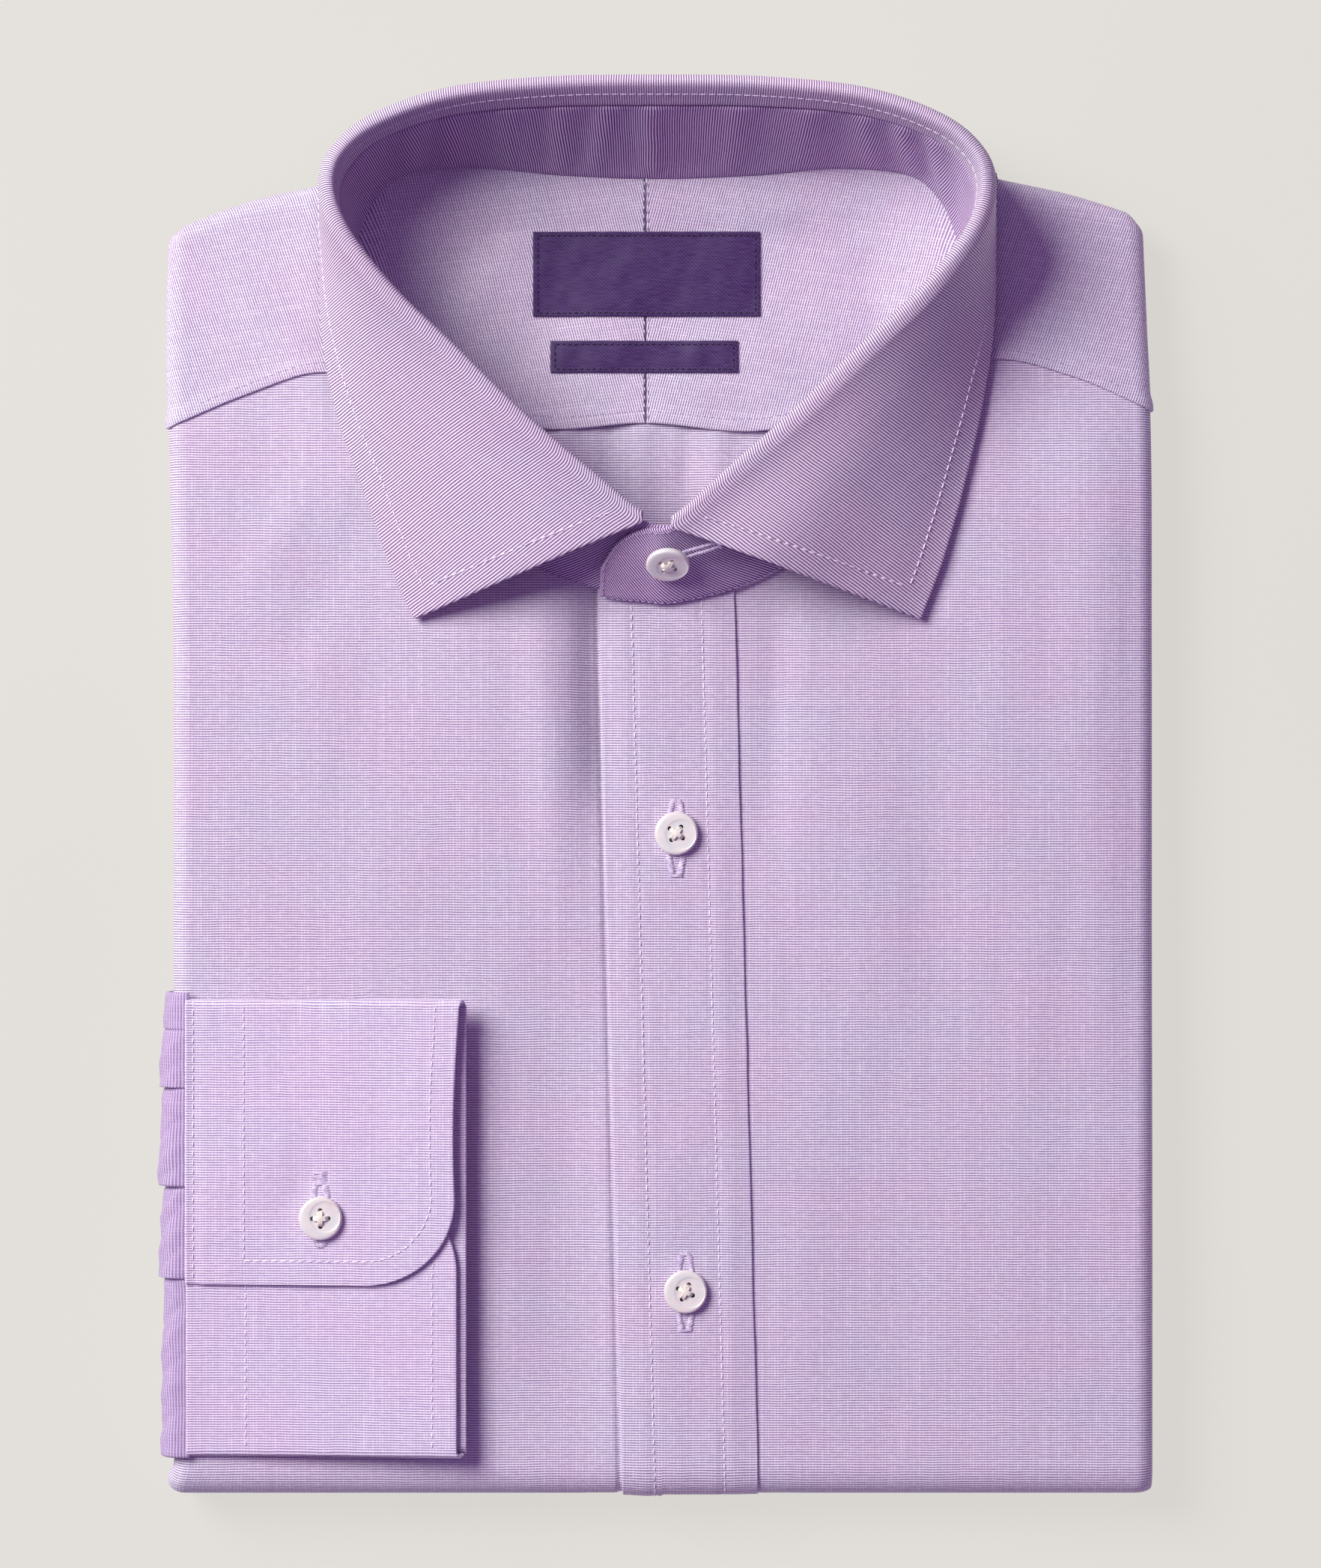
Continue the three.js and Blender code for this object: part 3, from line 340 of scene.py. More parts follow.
# y, left edge, right edge
SIDE_EDGES = [
    (-171, 123.8, 125.2), (-50, 123.9, 125.2), (40, 124.0, 125.2),
    (90, 125.2, 125.0), (118, 125.9, 123.9), (144, 125.3, 122.9),
]
# distance from the middle, left shoulder's y, right shoulder's y
SHOULDER_LINES = [
    (50, 167.0, 167.0), (64, 162.5, 163.0), (76, 156.4, 157.2),
    (86, 153.0, 154.4), (105, 148.5, 150.2), (124, 141.5, 144.2),
]
# x, y of the seam between the yoke and what is below it
YOKE_SEAM = [
    (-125, 90.5), (-105, 99.0), (-86, 104.6), (-60, 100.0), (-31, 91.0), (-3.7, 92.3),
    (27, 90.5), (60, 101.0), (84, 108.0), (105, 103.5), (125, 95.0),
]
PLACKET_WIDTH = 34.6


def placket_centre(y):
    return 1.6 + (47 - y) * 0.0265


# %% The neck seam and the collar's stations
# seam x, y, then fold x, y, z, then leaf edge x, y, z, from the centre back round to the front
COLLAR_STATIONS = np.array([
    (0, 155.5, 0, 174.2, 45, 0, 176.5, 4),
    (24, 156.3, 27, 173.6, 45.5, 28, 176, 4.2),
    (47, 158, 51.5, 170.6, 46.5, 54, 173.5, 5),
    (64, 156, 69.5, 164, 47.5, 73, 168, 6),
    (72.5, 149, 78.5, 156.5, 48.5, 83.5, 158.5, 8.5),
    (77, 138, 80.7, 148, 49, 85.2, 148.5, 15.8),
    (78.5, 124, 77.2, 138, 48.5, 85.5, 134, 17.3),
    (76, 108, 67, 124.6, 46.5, 85, 114.5, 19.4),
    (68.5, 88, 51.3, 109.4, 44, 82, 93.5, 20.2),
    (51, 68, 32.7, 91.3, 42, 77.2, 72.5, 20.8),
    (27, 54.5, 15, 76.4, 40.5, 72.3, 55.5, 21.1),
    (5.5, 48.3, 3.4, 67.4, 39.5, 67, 41.5, 21.3),
])
# how much nearer to the middle the left leaf's edge lies than the right one's
LEFT_LEAF_IN = np.array([0, 0, 0, 0, 0, 0, 0, 0, 0.8, 3.2, 4.2, 5.2])
LAST_STATION = len(COLLAR_STATIONS) - 1


def both_sides(columns, left_in=0.0):
    right = COLLAR_STATIONS[:, columns].copy()
    left = right.copy()
    left[:, 0] = left_in - left[:, 0]
    knots = np.concatenate([left[:0:-1], right])
    knots[:, 0] += NECK_X
    return knots


SEAM_KNOTS = both_sides([0, 1])
SEAM_LOOP = np.concatenate([SEAM_KNOTS[-3:], SEAM_KNOTS, SEAM_KNOTS[:3]])
SEAM_LINE = smooth_curve(SEAM_LOOP, np.linspace(3, len(SEAM_LOOP) - 4, 601))
SEAM_ANGLE = np.arctan2(SEAM_LINE[:, 1] - NECK_Y, SEAM_LINE[:, 0] - NECK_X)
SEAM_RADIUS = np.hypot(SEAM_LINE[:, 0] - NECK_X, SEAM_LINE[:, 1] - NECK_Y)


def neck_ratio(x, y):
    """1 on the neck seam, less inside it."""
    dx, dy = np.asarray(x) - NECK_X, np.asarray(y) - NECK_Y
    radius = np.interp(np.arctan2(dy, dx), SEAM_ANGLE, SEAM_RADIUS, period=TURN)
    return np.hypot(dx, dy) / radius


def neck_seam_y(x, at_back):
    half = SEAM_LINE[(SEAM_LINE[:, 1] > NECK_Y) == at_back]
    half = half[np.argsort(half[:, 0])]
    return np.interp(x, half[:, 0], half[:, 1])


def yoke_seam_y(x):
    return read_rows(YOKE_SEAM, 1, np.clip(x, -125, 125))


print("neck seam is", round(float(walked_along(SEAM_LINE)[-1])), "mm round")

# %% [markdown]
# ## Soft folds
# Pressed cloth still keeps soft troughs and ridges. The large ones are placed where the
# photograph shows them: beside the placket under the collar points, and next to the cuff.

# %% Soft folds
# x, y, half length, half width, height, lean in degrees from upright
SOFT_FOLDS = [
    (-25, 12, 52, 9, -1.2, 0), (-46, 18, 46, 12, 0.7, 0), (34, 8, 48, 12, 0.5, 0),
    (-98, 84, 16, 10, -0.5, 0), (96, 70, 30, 12, -0.5, 0),
]
FINE_FOLDS = [
    (-25, 12, 52, 9, 1.0, 0), (-29, 14, 46, 6, 1.3, 5), (124, 26, 100, 9, -2.0, 0),
    (29, 17, 36, 5, -0.9, -2), (51, -16, 52, 13, 0.6, 2), (68, -20, 40, 9, -0.5, 1),
    (-62, 4, 34, 8, 0.35, -3), (-84, 50, 26, 7, -0.45, -32), (-97, 62, 18, 5, 0.35, -28),
    (86, 34, 30, 8, 0.3, -8), (-24, -112, 58, 13, -1.7, 1), (60, -116, 46, 12, -0.4, 1),
    (-90, 26, 34, 10, 0.3, 5), (104, -60, 60, 7, -0.3, 1), (38, -120, 50, 8, 0.3, -1),
    (-96, 112, 16, 3.2, 0.45, 40), (-90, 118, 14, 3, -0.4, 34), (-108, 126, 12, 3, 0.35, 30),
    (98, 118, 14, 4, 0.4, -36),
]

# the deep trough beside the placket, which the placket itself bridges
PLACKET_TROUGH = [(-15.4, 28, 38, 5.4, -4.6, 2)]
BOWL_FOLDS = [
    (46, 134, 15, 4, -1.1, 53), (40, 142, 14, 5, 0.7, 53), (-44, 128, 16, 5, 0.6, -40),
    (-34, 112, 18, 6, -0.6, -30), (28, 108, 14, 6, 0.5, 20),
]


def fold_heights(rows, x, y):
    total = 0.0
    for fold_x, fold_y, half_length, half_width, height, lean in rows:
        turn = math.radians(lean)
        dx, dy = x - fold_x, y - fold_y
        across = (dx * math.cos(turn) + dy * math.sin(turn)) / half_width
        along = (dy * math.cos(turn) - dx * math.sin(turn)) / half_length
        total = total + height * np.exp(-(across**2) - along**4)
    return total


def level_height(x, y):
    """Height of the cloth's face over the table, as the plain model has it."""
    from_neck = np.abs(x - NECK_X)
    level = (BODY_TOP - 5 * ease(70, 150, y)
             + 1.5 * np.exp(-(((x - 1) / 34) ** 2) - ((y - 48) / 20) ** 2)
             - 4.2 * ease(138, 156, y) * (1 - ease(50, 80, from_neck)))
    outside = level + fold_heights(SOFT_FOLDS, x, y)
    return mix(BOWL_Z, outside, ease(0.68, 1, neck_ratio(x, y)))


def rest_height(x, y):
    """The same with the finer folds and the unevenness of pressed cloth."""
    inside = 1 - ease(0.75, 0.95, neck_ratio(x, y))
    fine = fold_heights(FINE_FOLDS + PLACKET_TROUGH, x, y) + 0.16 * ripple(x * 1.6, y * 0.7, 3, 46)
    bowl = 0.45 * ripple(x * 1.2, y, 8, 38) + fold_heights(BOWL_FOLDS, x, y)
    return level_height(x, y) + mix(fine, bowl, inside)


def side_edge(x, y):
    return np.where(x < 0, read_rows(SIDE_EDGES, 1, y), read_rows(SIDE_EDGES, 2, y))


def shoulder_line(x):
    away = np.abs(x)
    return np.where(x < 0, read_rows(SHOULDER_LINES, 1, away), read_rows(SHOULDER_LINES, 2, away))


def folded(x, y, out=0.0):
    """A place on the flat pattern, out from the cloth's face, as it lies on the folded shirt."""
    x, y, out = (np.array(part, dtype=float) for part in np.broadcast_arrays(x, y, out))
    side = np.where(x < 0, -1.0, 1.0)
    past = TAIL_AXIS_Y - y
    tail_turn = np.clip(past / TAIL_RADIUS, 0, math.pi)
    under = np.maximum(0, past - math.pi * TAIL_RADIUS)
    level = np.where(past > 0, TAIL_AXIS_Y + under, y)
    inner = side_edge(x, level) - SIDE_RADIUS
    side_turn = np.maximum(0, np.abs(x) - inner) / SIDE_RADIUS
    start = shoulder_line(x) - SIDE_RADIUS
    shoulder_turn = np.where(past > 0, 0, np.maximum(0, y - start) / SIDE_RADIUS)
    bend = np.hypot(side_turn, shoulder_turn)
    safe = np.maximum(bend, 1e-9)
    turn = bend / (1 + 0.55 * np.minimum(side_turn, shoulder_turn) / safe)
    radius = SIDE_RADIUS + out
    reach = radius * np.sin(turn) / safe
    depth = SIDE_RADIUS - radius * np.cos(turn)
    px = side * (np.minimum(np.abs(x), inner) + reach * side_turn)
    rest_x = side * np.minimum(np.abs(x), inner)
    rest = rest_height(rest_x, np.minimum(y, start))
    wave = rest_height(rest_x, np.full_like(x, TAIL_AXIS_Y)) - BODY_TOP
    square = np.abs(np.cos(tail_turn)) ** PRESSED + np.abs(np.sin(tail_turn)) ** PRESSED
    pressed = square ** (-1 / PRESSED)
    nested = (TAIL_RADIUS - depth) * pressed + wave * (1 - ease(0.2, 1.2, tail_turn))
    corner = depth * np.where(x < 0, 0.28, 0.66) * pressed
    flare = 1.8 * ease(0.2, 0.9, tail_turn) * (1 - ease(1.8, 2.6, tail_turn)) * ease(100, 119, -x)
    px = px - flare
    py = np.where(past > 0, level - (nested + corner) * np.sin(tail_turn),
                  np.minimum(y, start) + reach * shoulder_turn)
    pz = np.where(past > 0, TAIL_RADIUS + nested * np.cos(tail_turn), rest - depth)
    return np.stack([px, py, pz], axis=-1)


# %% [markdown]
# ## Making a piece of cloth
# Each piece is a grid of points on its outer face. The helper below gives it a real thickness with
# a rounded rim, so that it catches the light at its edges as folded cloth does, writes the pattern
# coordinates, hangs it on the root body, hides the model part it replaces, and prints how large it was cut.

# %% From a grid to a sewn piece
PIECES = {}


def unit(vectors):
    return vectors / np.maximum(np.linalg.norm(vectors, axis=-1, keepdims=True), 1e-12)


def grid_normals(points):
    return unit(np.cross(np.gradient(points, axis=1), np.gradient(points, axis=0)))


def rim_distance(points):
    """How far each point of a grid is from the nearest edge of the piece."""
    near = []
    for axis in (0, 1):
        walked = walked_along(points, axis)
        near.append(np.minimum(walked, np.take(walked, [-1], axis=axis) - walked))
    return np.minimum(*near)


def build_mesh(name, points, faces, material, pattern=None):
    mesh = bpy.data.meshes.new(name)
    mesh.from_pydata(metres(points).tolist(), [], faces)
    if pattern is not None:
        layer = mesh.uv_layers.new(name="pattern")
        corner = np.empty(len(mesh.loops), dtype=np.int32)
        mesh.loops.foreach_get("vertex_index", corner)
        layer.data.foreach_set("uv", np.asarray(pattern, dtype=np.float32)[corner].ravel())
    mesh.shade_smooth()
    mesh.materials.append(material)
    piece = bpy.data.objects.new(name, mesh)
    bpy.context.scene.collection.objects.link(piece)
    return piece


def grid_faces(rows, cols):
    """Quads of both faces of a wall and of its rim, for two grids stored one after the other."""
    j, i = np.mgrid[0:rows - 1, 0:cols - 1]
    a = (j * cols + i).ravel()
    top = np.stack([a, a + 1, a + cols + 1, a + cols], axis=1)
    count = rows * cols
    bottom = top[:, ::-1] + count
    ring = np.concatenate([
        np.arange(cols), np.arange(1, rows) * cols + cols - 1,
        (rows - 1) * cols + np.arange(cols - 2, -1, -1), np.arange(rows - 2, 0, -1) * cols,
    ])
    after = np.roll(ring, -1)
    side = np.stack([after, ring, ring + count, after + count], axis=1)
    return np.concatenate([top, bottom, side])


def cloth_wall(name, outer, thickness, pattern, material, flip):
    """A closed wall of cloth under the outer grid; flip it where the grid faces the other way."""
    normal = grid_normals(outer) * (-1 if flip else 1)
    share = np.clip(rim_distance(outer) / (0.5 * thickness), 0, 1)
    pinch = (0.46 * thickness * (1 - np.sqrt(1 - (1 - share) ** 2)))[..., None]
    top, bottom = outer - normal * pinch, outer - normal * (thickness - pinch)
    points = np.concatenate([top.reshape(-1, 3), bottom.reshape(-1, 3)])
    faces = grid_faces(*outer.shape[:2])
    if flip:
        faces = faces[:, ::-1]
    flat = pattern.reshape(-1, 2)
    PIECES[name] = {"outer": outer, "normal": normal, "pattern": pattern}
    return build_mesh(name, points, faces.tolist(), material, np.concatenate([flat, flat]))


def flat_area(pattern):
    """Area of the cut, from its pattern coordinates, in square metres."""
    one = pattern[1:, 1:] - pattern[:-1, :-1]
    two = pattern[1:, :-1] - pattern[:-1, 1:]
    return float(np.abs(one[..., 0] * two[..., 1] - one[..., 1] * two[..., 0]).sum() / 2e6)


LEAST_WIDTH = 0.012
LEAST_SHARE = 0.31


def sew(name, node, outer, thickness, pattern, material=shirting, flip=False):
    """Makes a piece of cloth in its finish, hangs it on the root body, hides the model node it replaces and
    prints its cut size.
    """
    piece = cloth_wall(name, outer, thickness, pattern, material, flip)
    size = np.ptp(pattern.reshape(-1, 2), axis=0) / 1000
    width, length = (max(float(part), LEAST_WIDTH) for part in size)
    area = min(max(flat_area(pattern), LEAST_SHARE * width * length), width * length)
    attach(piece, "root")
    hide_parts(node)
    print(f"{name}: cut {width:.3f} x {length:.3f} m, area {area:.4f} square metres")


# %% [markdown]
# ## The fronts and the placket
# One front panel makes the top of the pack, goes round the tail fold and lies flat underneath. The
# placket is a strip that lies over both fronts, so it is made from the same places, moved out.

# %% Fronts
TAIL_TURN_END = TAIL_AXIS_Y - math.pi * TAIL_RADIUS
FLAT_HEM_Y = TAIL_TURN_END - (TAIL_HEM_Y - TAIL_AXIS_Y)
# places from the start of the tail fold, round it and on to the hem underneath
TAIL_ROWS = np.concatenate([np.linspace(TAIL_AXIS_Y, TAIL_TURN_END, 22),
                            np.linspace(TAIL_TURN_END, FLAT_HEM_Y, 42)[1:]])
UPPER_END = -20
WALL = 0.7
GAP = 0.3


def placket_inset(x, y):
    """The fronts sink under the placket round the tail fold, so that it stays level with them."""
    turn = ease(0.3 * math.pi * TAIL_RADIUS, 0.8 * math.pi * TAIL_RADIUS, TAIL_AXIS_Y - y)
    past_edge = np.abs(x - placket_centre(y)) - PLACKET_WIDTH / 2
    return 1.4 * turn * (1 - ease(7, 12, past_edge))


def front_panel(side):
    shares = np.unique(np.concatenate([
        spread(0, 1, 0.0145, fine=0.002), np.arange(0.13, 0.17, 0.0034)]))
    middle = placket_centre(0) + side * GAP / 2
    inner = 119.4 if side < 0 else 120.7
    turned = spread(0, 1, 0.09, 0.02)[4:] * SIDE_TURN * SIDE_RADIUS
    columns = np.concatenate([middle + shares * (side * inner - middle), side * (inner + turned)])
    top = yoke_seam_y(columns) + 1.2
    at_neck = np.minimum(top, neck_seam_y(columns, False) + 1.0)
    top = np.where(np.abs(columns - NECK_X) < 77.5, at_neck, top)
    upper = spread(0, 1, 1 / 62, fine=0.003)[:-4]
    rows = np.concatenate([spread(0.0, TAIL_AXIS_Y, 1.9)[:-4], TAIL_ROWS])
    lower = np.repeat(rows[rows < UPPER_END, None], len(columns), axis=1)
    y = np.concatenate([mix(top, UPPER_END, upper[:, None]), lower])
    lean = placket_centre(y) - placket_centre(0)
    x = columns + lean * np.clip(1 - np.abs(columns) / inner, 0, 1)
    groove = 0.0
    if side < 0:
        beside = np.abs(x - placket_centre(y)) - PLACKET_WIDTH / 2 - 0.5
        on_top = 1 - ease(TAIL_RADIUS, 2 * TAIL_RADIUS, TAIL_AXIS_Y - y)
        groove = 0.6 * np.exp(-((beside / 0.8) ** 2)) * on_top
    outer = folded(x, y, -placket_inset(x, y) - groove)
    word = "left" if side < 0 else "right"
    sew(f"front_{word}_cloth", f"front_{word}", outer, WALL, np.stack([x, y], axis=-1),
        flip=side > 0)


front_panel(-1)
front_panel(1)

# %% Placket
STITCH_INSET = 8.4


def placket_strip():
    half = PLACKET_WIDTH / 2
    across = spread(-half, half, 0.95)
    rows = spread(0, 1, 1 / 150, fine=0.0012)[:-4]
    top = neck_seam_y(placket_centre(47) + across, False) - 0.3
    lower = np.repeat(TAIL_ROWS[:, None], len(across), axis=1)
    y = np.concatenate([mix(top, TAIL_AXIS_Y, rows[:, None]), lower])
    x = placket_centre(y) + across
    from_edge = half - np.abs(across)
    from_stitches = from_edge - STITCH_INSET
    groove = np.exp(-((from_stitches / 0.7) ** 2))
    pucker = 0.05 * np.sin(y * 1.9 + across * 0.7) * np.exp(-((from_stitches / 2.5) ** 2))
    out = (0.82 + 0.4 * ease(0, 7, from_edge) - 0.22 * groove + pucker
           + 0.14 * ripple(x * 1.6, y * 0.9, 61, 24) - placket_inset(x, y)
           - 0.9 * fold_heights(PLACKET_TROUGH, x, y))
    for button_x, button_y in (UPPER_BUTTON, LOWER_BUTTON):
        near = np.exp(-(((x - button_x) / 5) ** 2) - ((y - button_y) / 9) ** 2)
        out = out - 0.3 * near * np.cos((y - button_y) * 0.55)
    x = x + 0.16 * ripple(0.0 * x, y, 62, 34)
    sew("placket_cloth", "placket", folded(x, y, out), 0.75, np.stack([x, y], axis=-1),
        flip=True)


placket_strip()

# %% [markdown]
# ## The yoke and the back
# The yoke is split down its middle seam and cut so that its stripe runs down over each shoulder.
# It passes under the collar and over the shoulder fold. Below it, inside the neck, the back panel
# is gathered in soft pleats.

# %% Yoke halves
def yoke_pattern(x, y, side):
    lean = -side * np.radians(15.2 + 4.2 * ease(68, 84, np.abs(x)))
    across = x * np.cos(lean) + (y - 110) * np.sin(lean)
    along = (y - 110) * np.cos(lean) - x * np.sin(lean) * 0.4
    return np.stack([along, across], axis=-1)


def yoke_half(side):
    middle = BACK_SEAM_X + side * 0.12
    inner = 120.7 if side < 0 else 120.4
    turned = side * (inner + np.linspace(0, 1, 13)[1:] * SIDE_TURN * SIDE_RADIUS)
    columns = np.concatenate([spread(middle, side * inner, 1.75)[:-3], turned])
    over = shoulder_line(columns) + SIDE_RADIUS * (SHOULDER_TURN - 1)
    at_neck = neck_seam_y(np.clip(columns, -77, 75), True) + 0.6
    back = mix(at_neck, over, ease(62, 76, np.abs(columns - NECK_X)))
    front = yoke_seam_y(columns) - 0.1
    y = mix(front, back, spread(0, 1, 1 / 46, fine=0.004)[:, None])
    x = np.broadcast_to(columns, y.shape)
    seam_fold = 0.62 * (1 - ease(1.6, 5.0, y - front))
    word = "left" if side < 0 else "right"
    sew(f"yoke_{word}_cloth", f"yoke_{word}", folded(x, y, 0.22 + seam_fold), 0.8,
        yoke_pattern(x, y, side), flip=side < 0)


yoke_half(-1)
yoke_half(1)

# %% Back panel
# x, half width, height of each soft pleat where the back joins the yoke
BACK_PLEATS = [
    (-24, 3.2, 0.9), (-13, 2.4, -0.7), (-4, 3.0, 0.8),
    (7, 2.2, -0.6), (15, 3.2, 0.9), (27, 2.8, -0.5),
]


def back_panel():
    across = spread(NECK_X - 75.5, NECK_X + 75.5, 1.3)
    top = yoke_seam_y(across) + 0.6
    bottom = np.minimum(neck_seam_y(across, False) + 1.9, top - 1.5)
    y = mix(bottom, top, spread(0, 1, 1 / 34, fine=0.006)[:, None])
    x = np.broadcast_to(across, y.shape)
    pleats = sum(height * np.exp(-(((x - place - 0.05 * (y - 92)) / half) ** 2))
                 for place, half, height in BACK_PLEATS)
    outer = folded(x, y, -0.7 + pleats * 0.8 * ease(0, 12, y - bottom))
    sew("back_cloth", "back_panel", outer, 0.7, np.stack([x, y], axis=-1))


back_panel()

# %% [markdown]
# ## The collar
# A dress collar is two parts. The stand is a band sewn round the neck, whose rounded end laps over
# the other end at the front. The leaf is sewn to the top of the stand, rises a little, rolls over
# and comes down outside to its two points. Both are drawn through stations round the neck.

# %% Collar stand
COLLAR_CLOTH = 1.4
FOLD_CURVE = both_sides([2, 3, 4])
EDGE_CURVE = both_sides([5, 6, 7], LEFT_LEAF_IN)
# seam x, y, then top x, y, z, past the last station on each side
STAND_LAP = np.array([(-5.0, 48.4, -3.8, 65.6, 37.4), (-11.2, 48.8, -10.4, 62.6, 34.3),
                      (-15.4, 49.4, -15.2, 55.4, 28.6)])
STAND_UNDERLAP = np.array([(4.5, 47.2, 5.5, 64.6, 38.2)])


def seat_height(x, y):
    half = PLACKET_WIDTH / 2
    over_placket = (1 - ease(half + 1, half + 7, np.abs(x - 1.6))) * (1 - ease(60, 75, y))
    return level_height(x, y) + 1.05 + 0.8 * over_placket


def roll_height(station):
    return mix(8.0, 1.6, ease(4.2, 7.5, np.abs(station)))


def stand_knots():
    """Knots of the stand's sewn edge and of its top, from the underlap round to the lap."""
    stations = np.arange(-LAST_STATION, LAST_STATION + 1)
    seam = np.column_stack([SEAM_KNOTS, seat_height(*SEAM_KNOTS.T)])
    top = FOLD_CURVE - unit(FOLD_CURVE - seam) * roll_height(stations)[:, None]
    under, lap = (np.column_stack([rows[:, :2], seat_height(rows[:, 0], rows[:, 1])])
                  for rows in (STAND_UNDERLAP, STAND_LAP))
    return (np.concatenate([under, seam, lap]),
            np.concatenate([STAND_UNDERLAP[:, 2:], top, STAND_LAP[:, 2:]]))


STAND_SEAM, STAND_TOP = stand_knots()


def lap_lift(station):
    return 2.0 * ease(LAST_STATION - 1.6, LAST_STATION - 0.5, station)


def stand_middle(station, height):
    place = np.asarray(station, dtype=float) + LAST_STATION + 1
    seam, top = smooth_curve(STAND_SEAM, place), smooth_curve(STAND_TOP, place)
    lift = lap_lift(station)[..., None] * np.array([0, -0.66, 0.5])
    return mix(seam, top, np.asarray(height)[..., None]) + lift


def stations_between(start, end, curve_points, step):
    """Stations about one step apart along a curve of the collar."""
    fine = np.linspace(start, end, 900)
    length = walked_along(curve_points(fine))
    return np.interp(spread(0, length[-1], step), length, fine)


def leaning_walk(walked, lean):
    """The part of a walk that goes across the stripe, where the cloth leans on the way."""
    return np.concatenate([[0], np.cumsum(np.diff(walked) * np.cos((lean[1:] + lean[:-1]) / 2))])


def band_places(stations, grid):
    """Pattern coordinates of the stand: up, and round the neck with the stripe leaning in front."""
    up = walked_along(grid)
    lean = -np.radians(38) * np.sign(stations) * ease(6.5, 10.5, np.abs(stations))
    across = leaning_walk(walked_along(grid, 1)[len(grid) // 2], lean)
    return np.stack([up, across + up * np.sin(lean)], axis=-1)


# place across the photograph, half width, depth, lean of each crease in the back of the stand
STAND_CREASES = [
    (-70, 2.6, 0.7, 2), (-64, 1.7, -0.6, 3), (-58, 2.2, 0.6, 2), (-53.5, 1.5, -0.5, 1),
    (-46, 3.0, 0.6, -1), (-38, 1.4, -0.5, 0), (-29, 1.8, 0.5, 0), (-25, 1.6, -0.4, 0),
    (-19, 2.0, 0.4, 3), (-15, 1.6, -0.4, 3), (-7, 2.4, 0.5, -2), (-2, 1.4, -0.6, -1),
    (8, 4.0, 0.5, 0), (19, 1.8, -0.4, 1), (27, 2.8, 0.5, 0), (37, 2.0, -0.6, 1),
    (46, 2.6, 0.6, -2), (53, 1.6, -0.7, -4), (58, 2.0, 0.7, -4), (63, 1.3, -0.7, -5),
    (67, 1.6, 0.7, -5), (71, 1.3, -0.6, -5), (75, 1.6, 0.5, -4),
]


def stand_creases(points, height):
    x, y = points[..., 0], points[..., 1]
    total = 0.0
    for place, half, depth, lean in STAND_CREASES:
        total = total + depth * np.exp(-(((x - place - lean * (height - 0.5)) / (1.45 * half)) ** 2))
    return total * 0.8 * ease(112, 140, y)


def collar_stand():
    def middle(station):
        return stand_middle(station, np.full_like(station, 0.5))

    stations = stations_between(-LAST_STATION - 0.98, LAST_STATION + 2.98, middle, 1.3)
    station, height = np.meshgrid(stations, spread(-0.035, 0.985, 1 / 22, fine=0.008))
    centre = stand_middle(station, height)
    creases = stand_creases(centre, height) * ease(0, 0.16, height) * (1 - ease(0.93, 1, height))
    outer = centre - grid_normals(centre) * (COLLAR_CLOTH / 2 + creases)[..., None]
    sew("stand_cloth", "collar_stand", outer, COLLAR_CLOTH, band_places(stations, centre),
        material=stand_shirting_painted_shade,
        flip=True)


collar_stand()

# %% Collar leaf
# share of the way down the leaf, from its seam, where it starts to fall outside
LEAF_FALL = 0.45
def cover_height(x, y, margin):
    """The lowest that the leaf's cloth may lie over the body under it."""
    line = shoulder_line(x)
    start = line - SIDE_RADIUS
    y_flat = np.minimum(y, start)
    rest = np.maximum(level_height(x, y_flat), rest_height(x, y_flat)) + margin
    radius = SIDE_RADIUS + margin
    drop = radius - np.sqrt(np.maximum(0, radius**2 - np.maximum(0, y - start) ** 2))
    free = ((np.abs(x) < 72) & (y > 150)) | (y > line + margin)
    return np.where(free, -1e3, rest - drop)


def leaf_knots(station):
    one, zero = np.ones_like(station), np.zeros_like(station)
    foot, top = stand_middle(station, zero), stand_middle(station, one)
    rise = unit(top - foot)
    edge = smooth_curve(EDGE_CURVE, station + LAST_STATION)
    start = top + rise * 0.15
    crest = start + rise * (roll_height(station)[:, None] - 0.15)
    along = stand_middle(station + 0.02, one) - stand_middle(station - 0.02, one)
    away = unit(np.cross(rise, along))
    up = np.array([0, 0, 1.0])
    loft = mix(1.0, 0.75, ease(8.5, 10.5, np.abs(station)))[:, None]
    over = crest + (away * 1.5 + rise * 0.8) * loft
    outer = crest + away * 3.0 * loft - rise
    spring = ease(8, 11, np.abs(station))[:, None]
    below = mix(outer, edge, 0.09) + up * 0.7
    near = mix(outer, edge, 0.36) + up * (2.0 + 2.8 * spring)
    far = mix(outer, edge, 0.7) + up * (1.5 + 1.2 * spring)
    return np.stack([start, crest, over, outer, below, near, far, edge])


def leaf_middle(station, share):
    """station (cols,) and share (rows,) give a grid of the leaf's middle surface."""
    knots = leaf_knots(station)
    points = smooth_curve(knots, share * (len(knots) - 1))
    cover = cover_height(points[..., 0], points[..., 1], GAP + COLLAR_CLOTH / 2)
    least = np.where(share[:, None] > LEAF_FALL, cover, -1e3)
    hang = points[..., 2]
    points[..., 2] = (hang + least + np.sqrt((hang - least) ** 2 + 1.8**2)) / 2
    return points


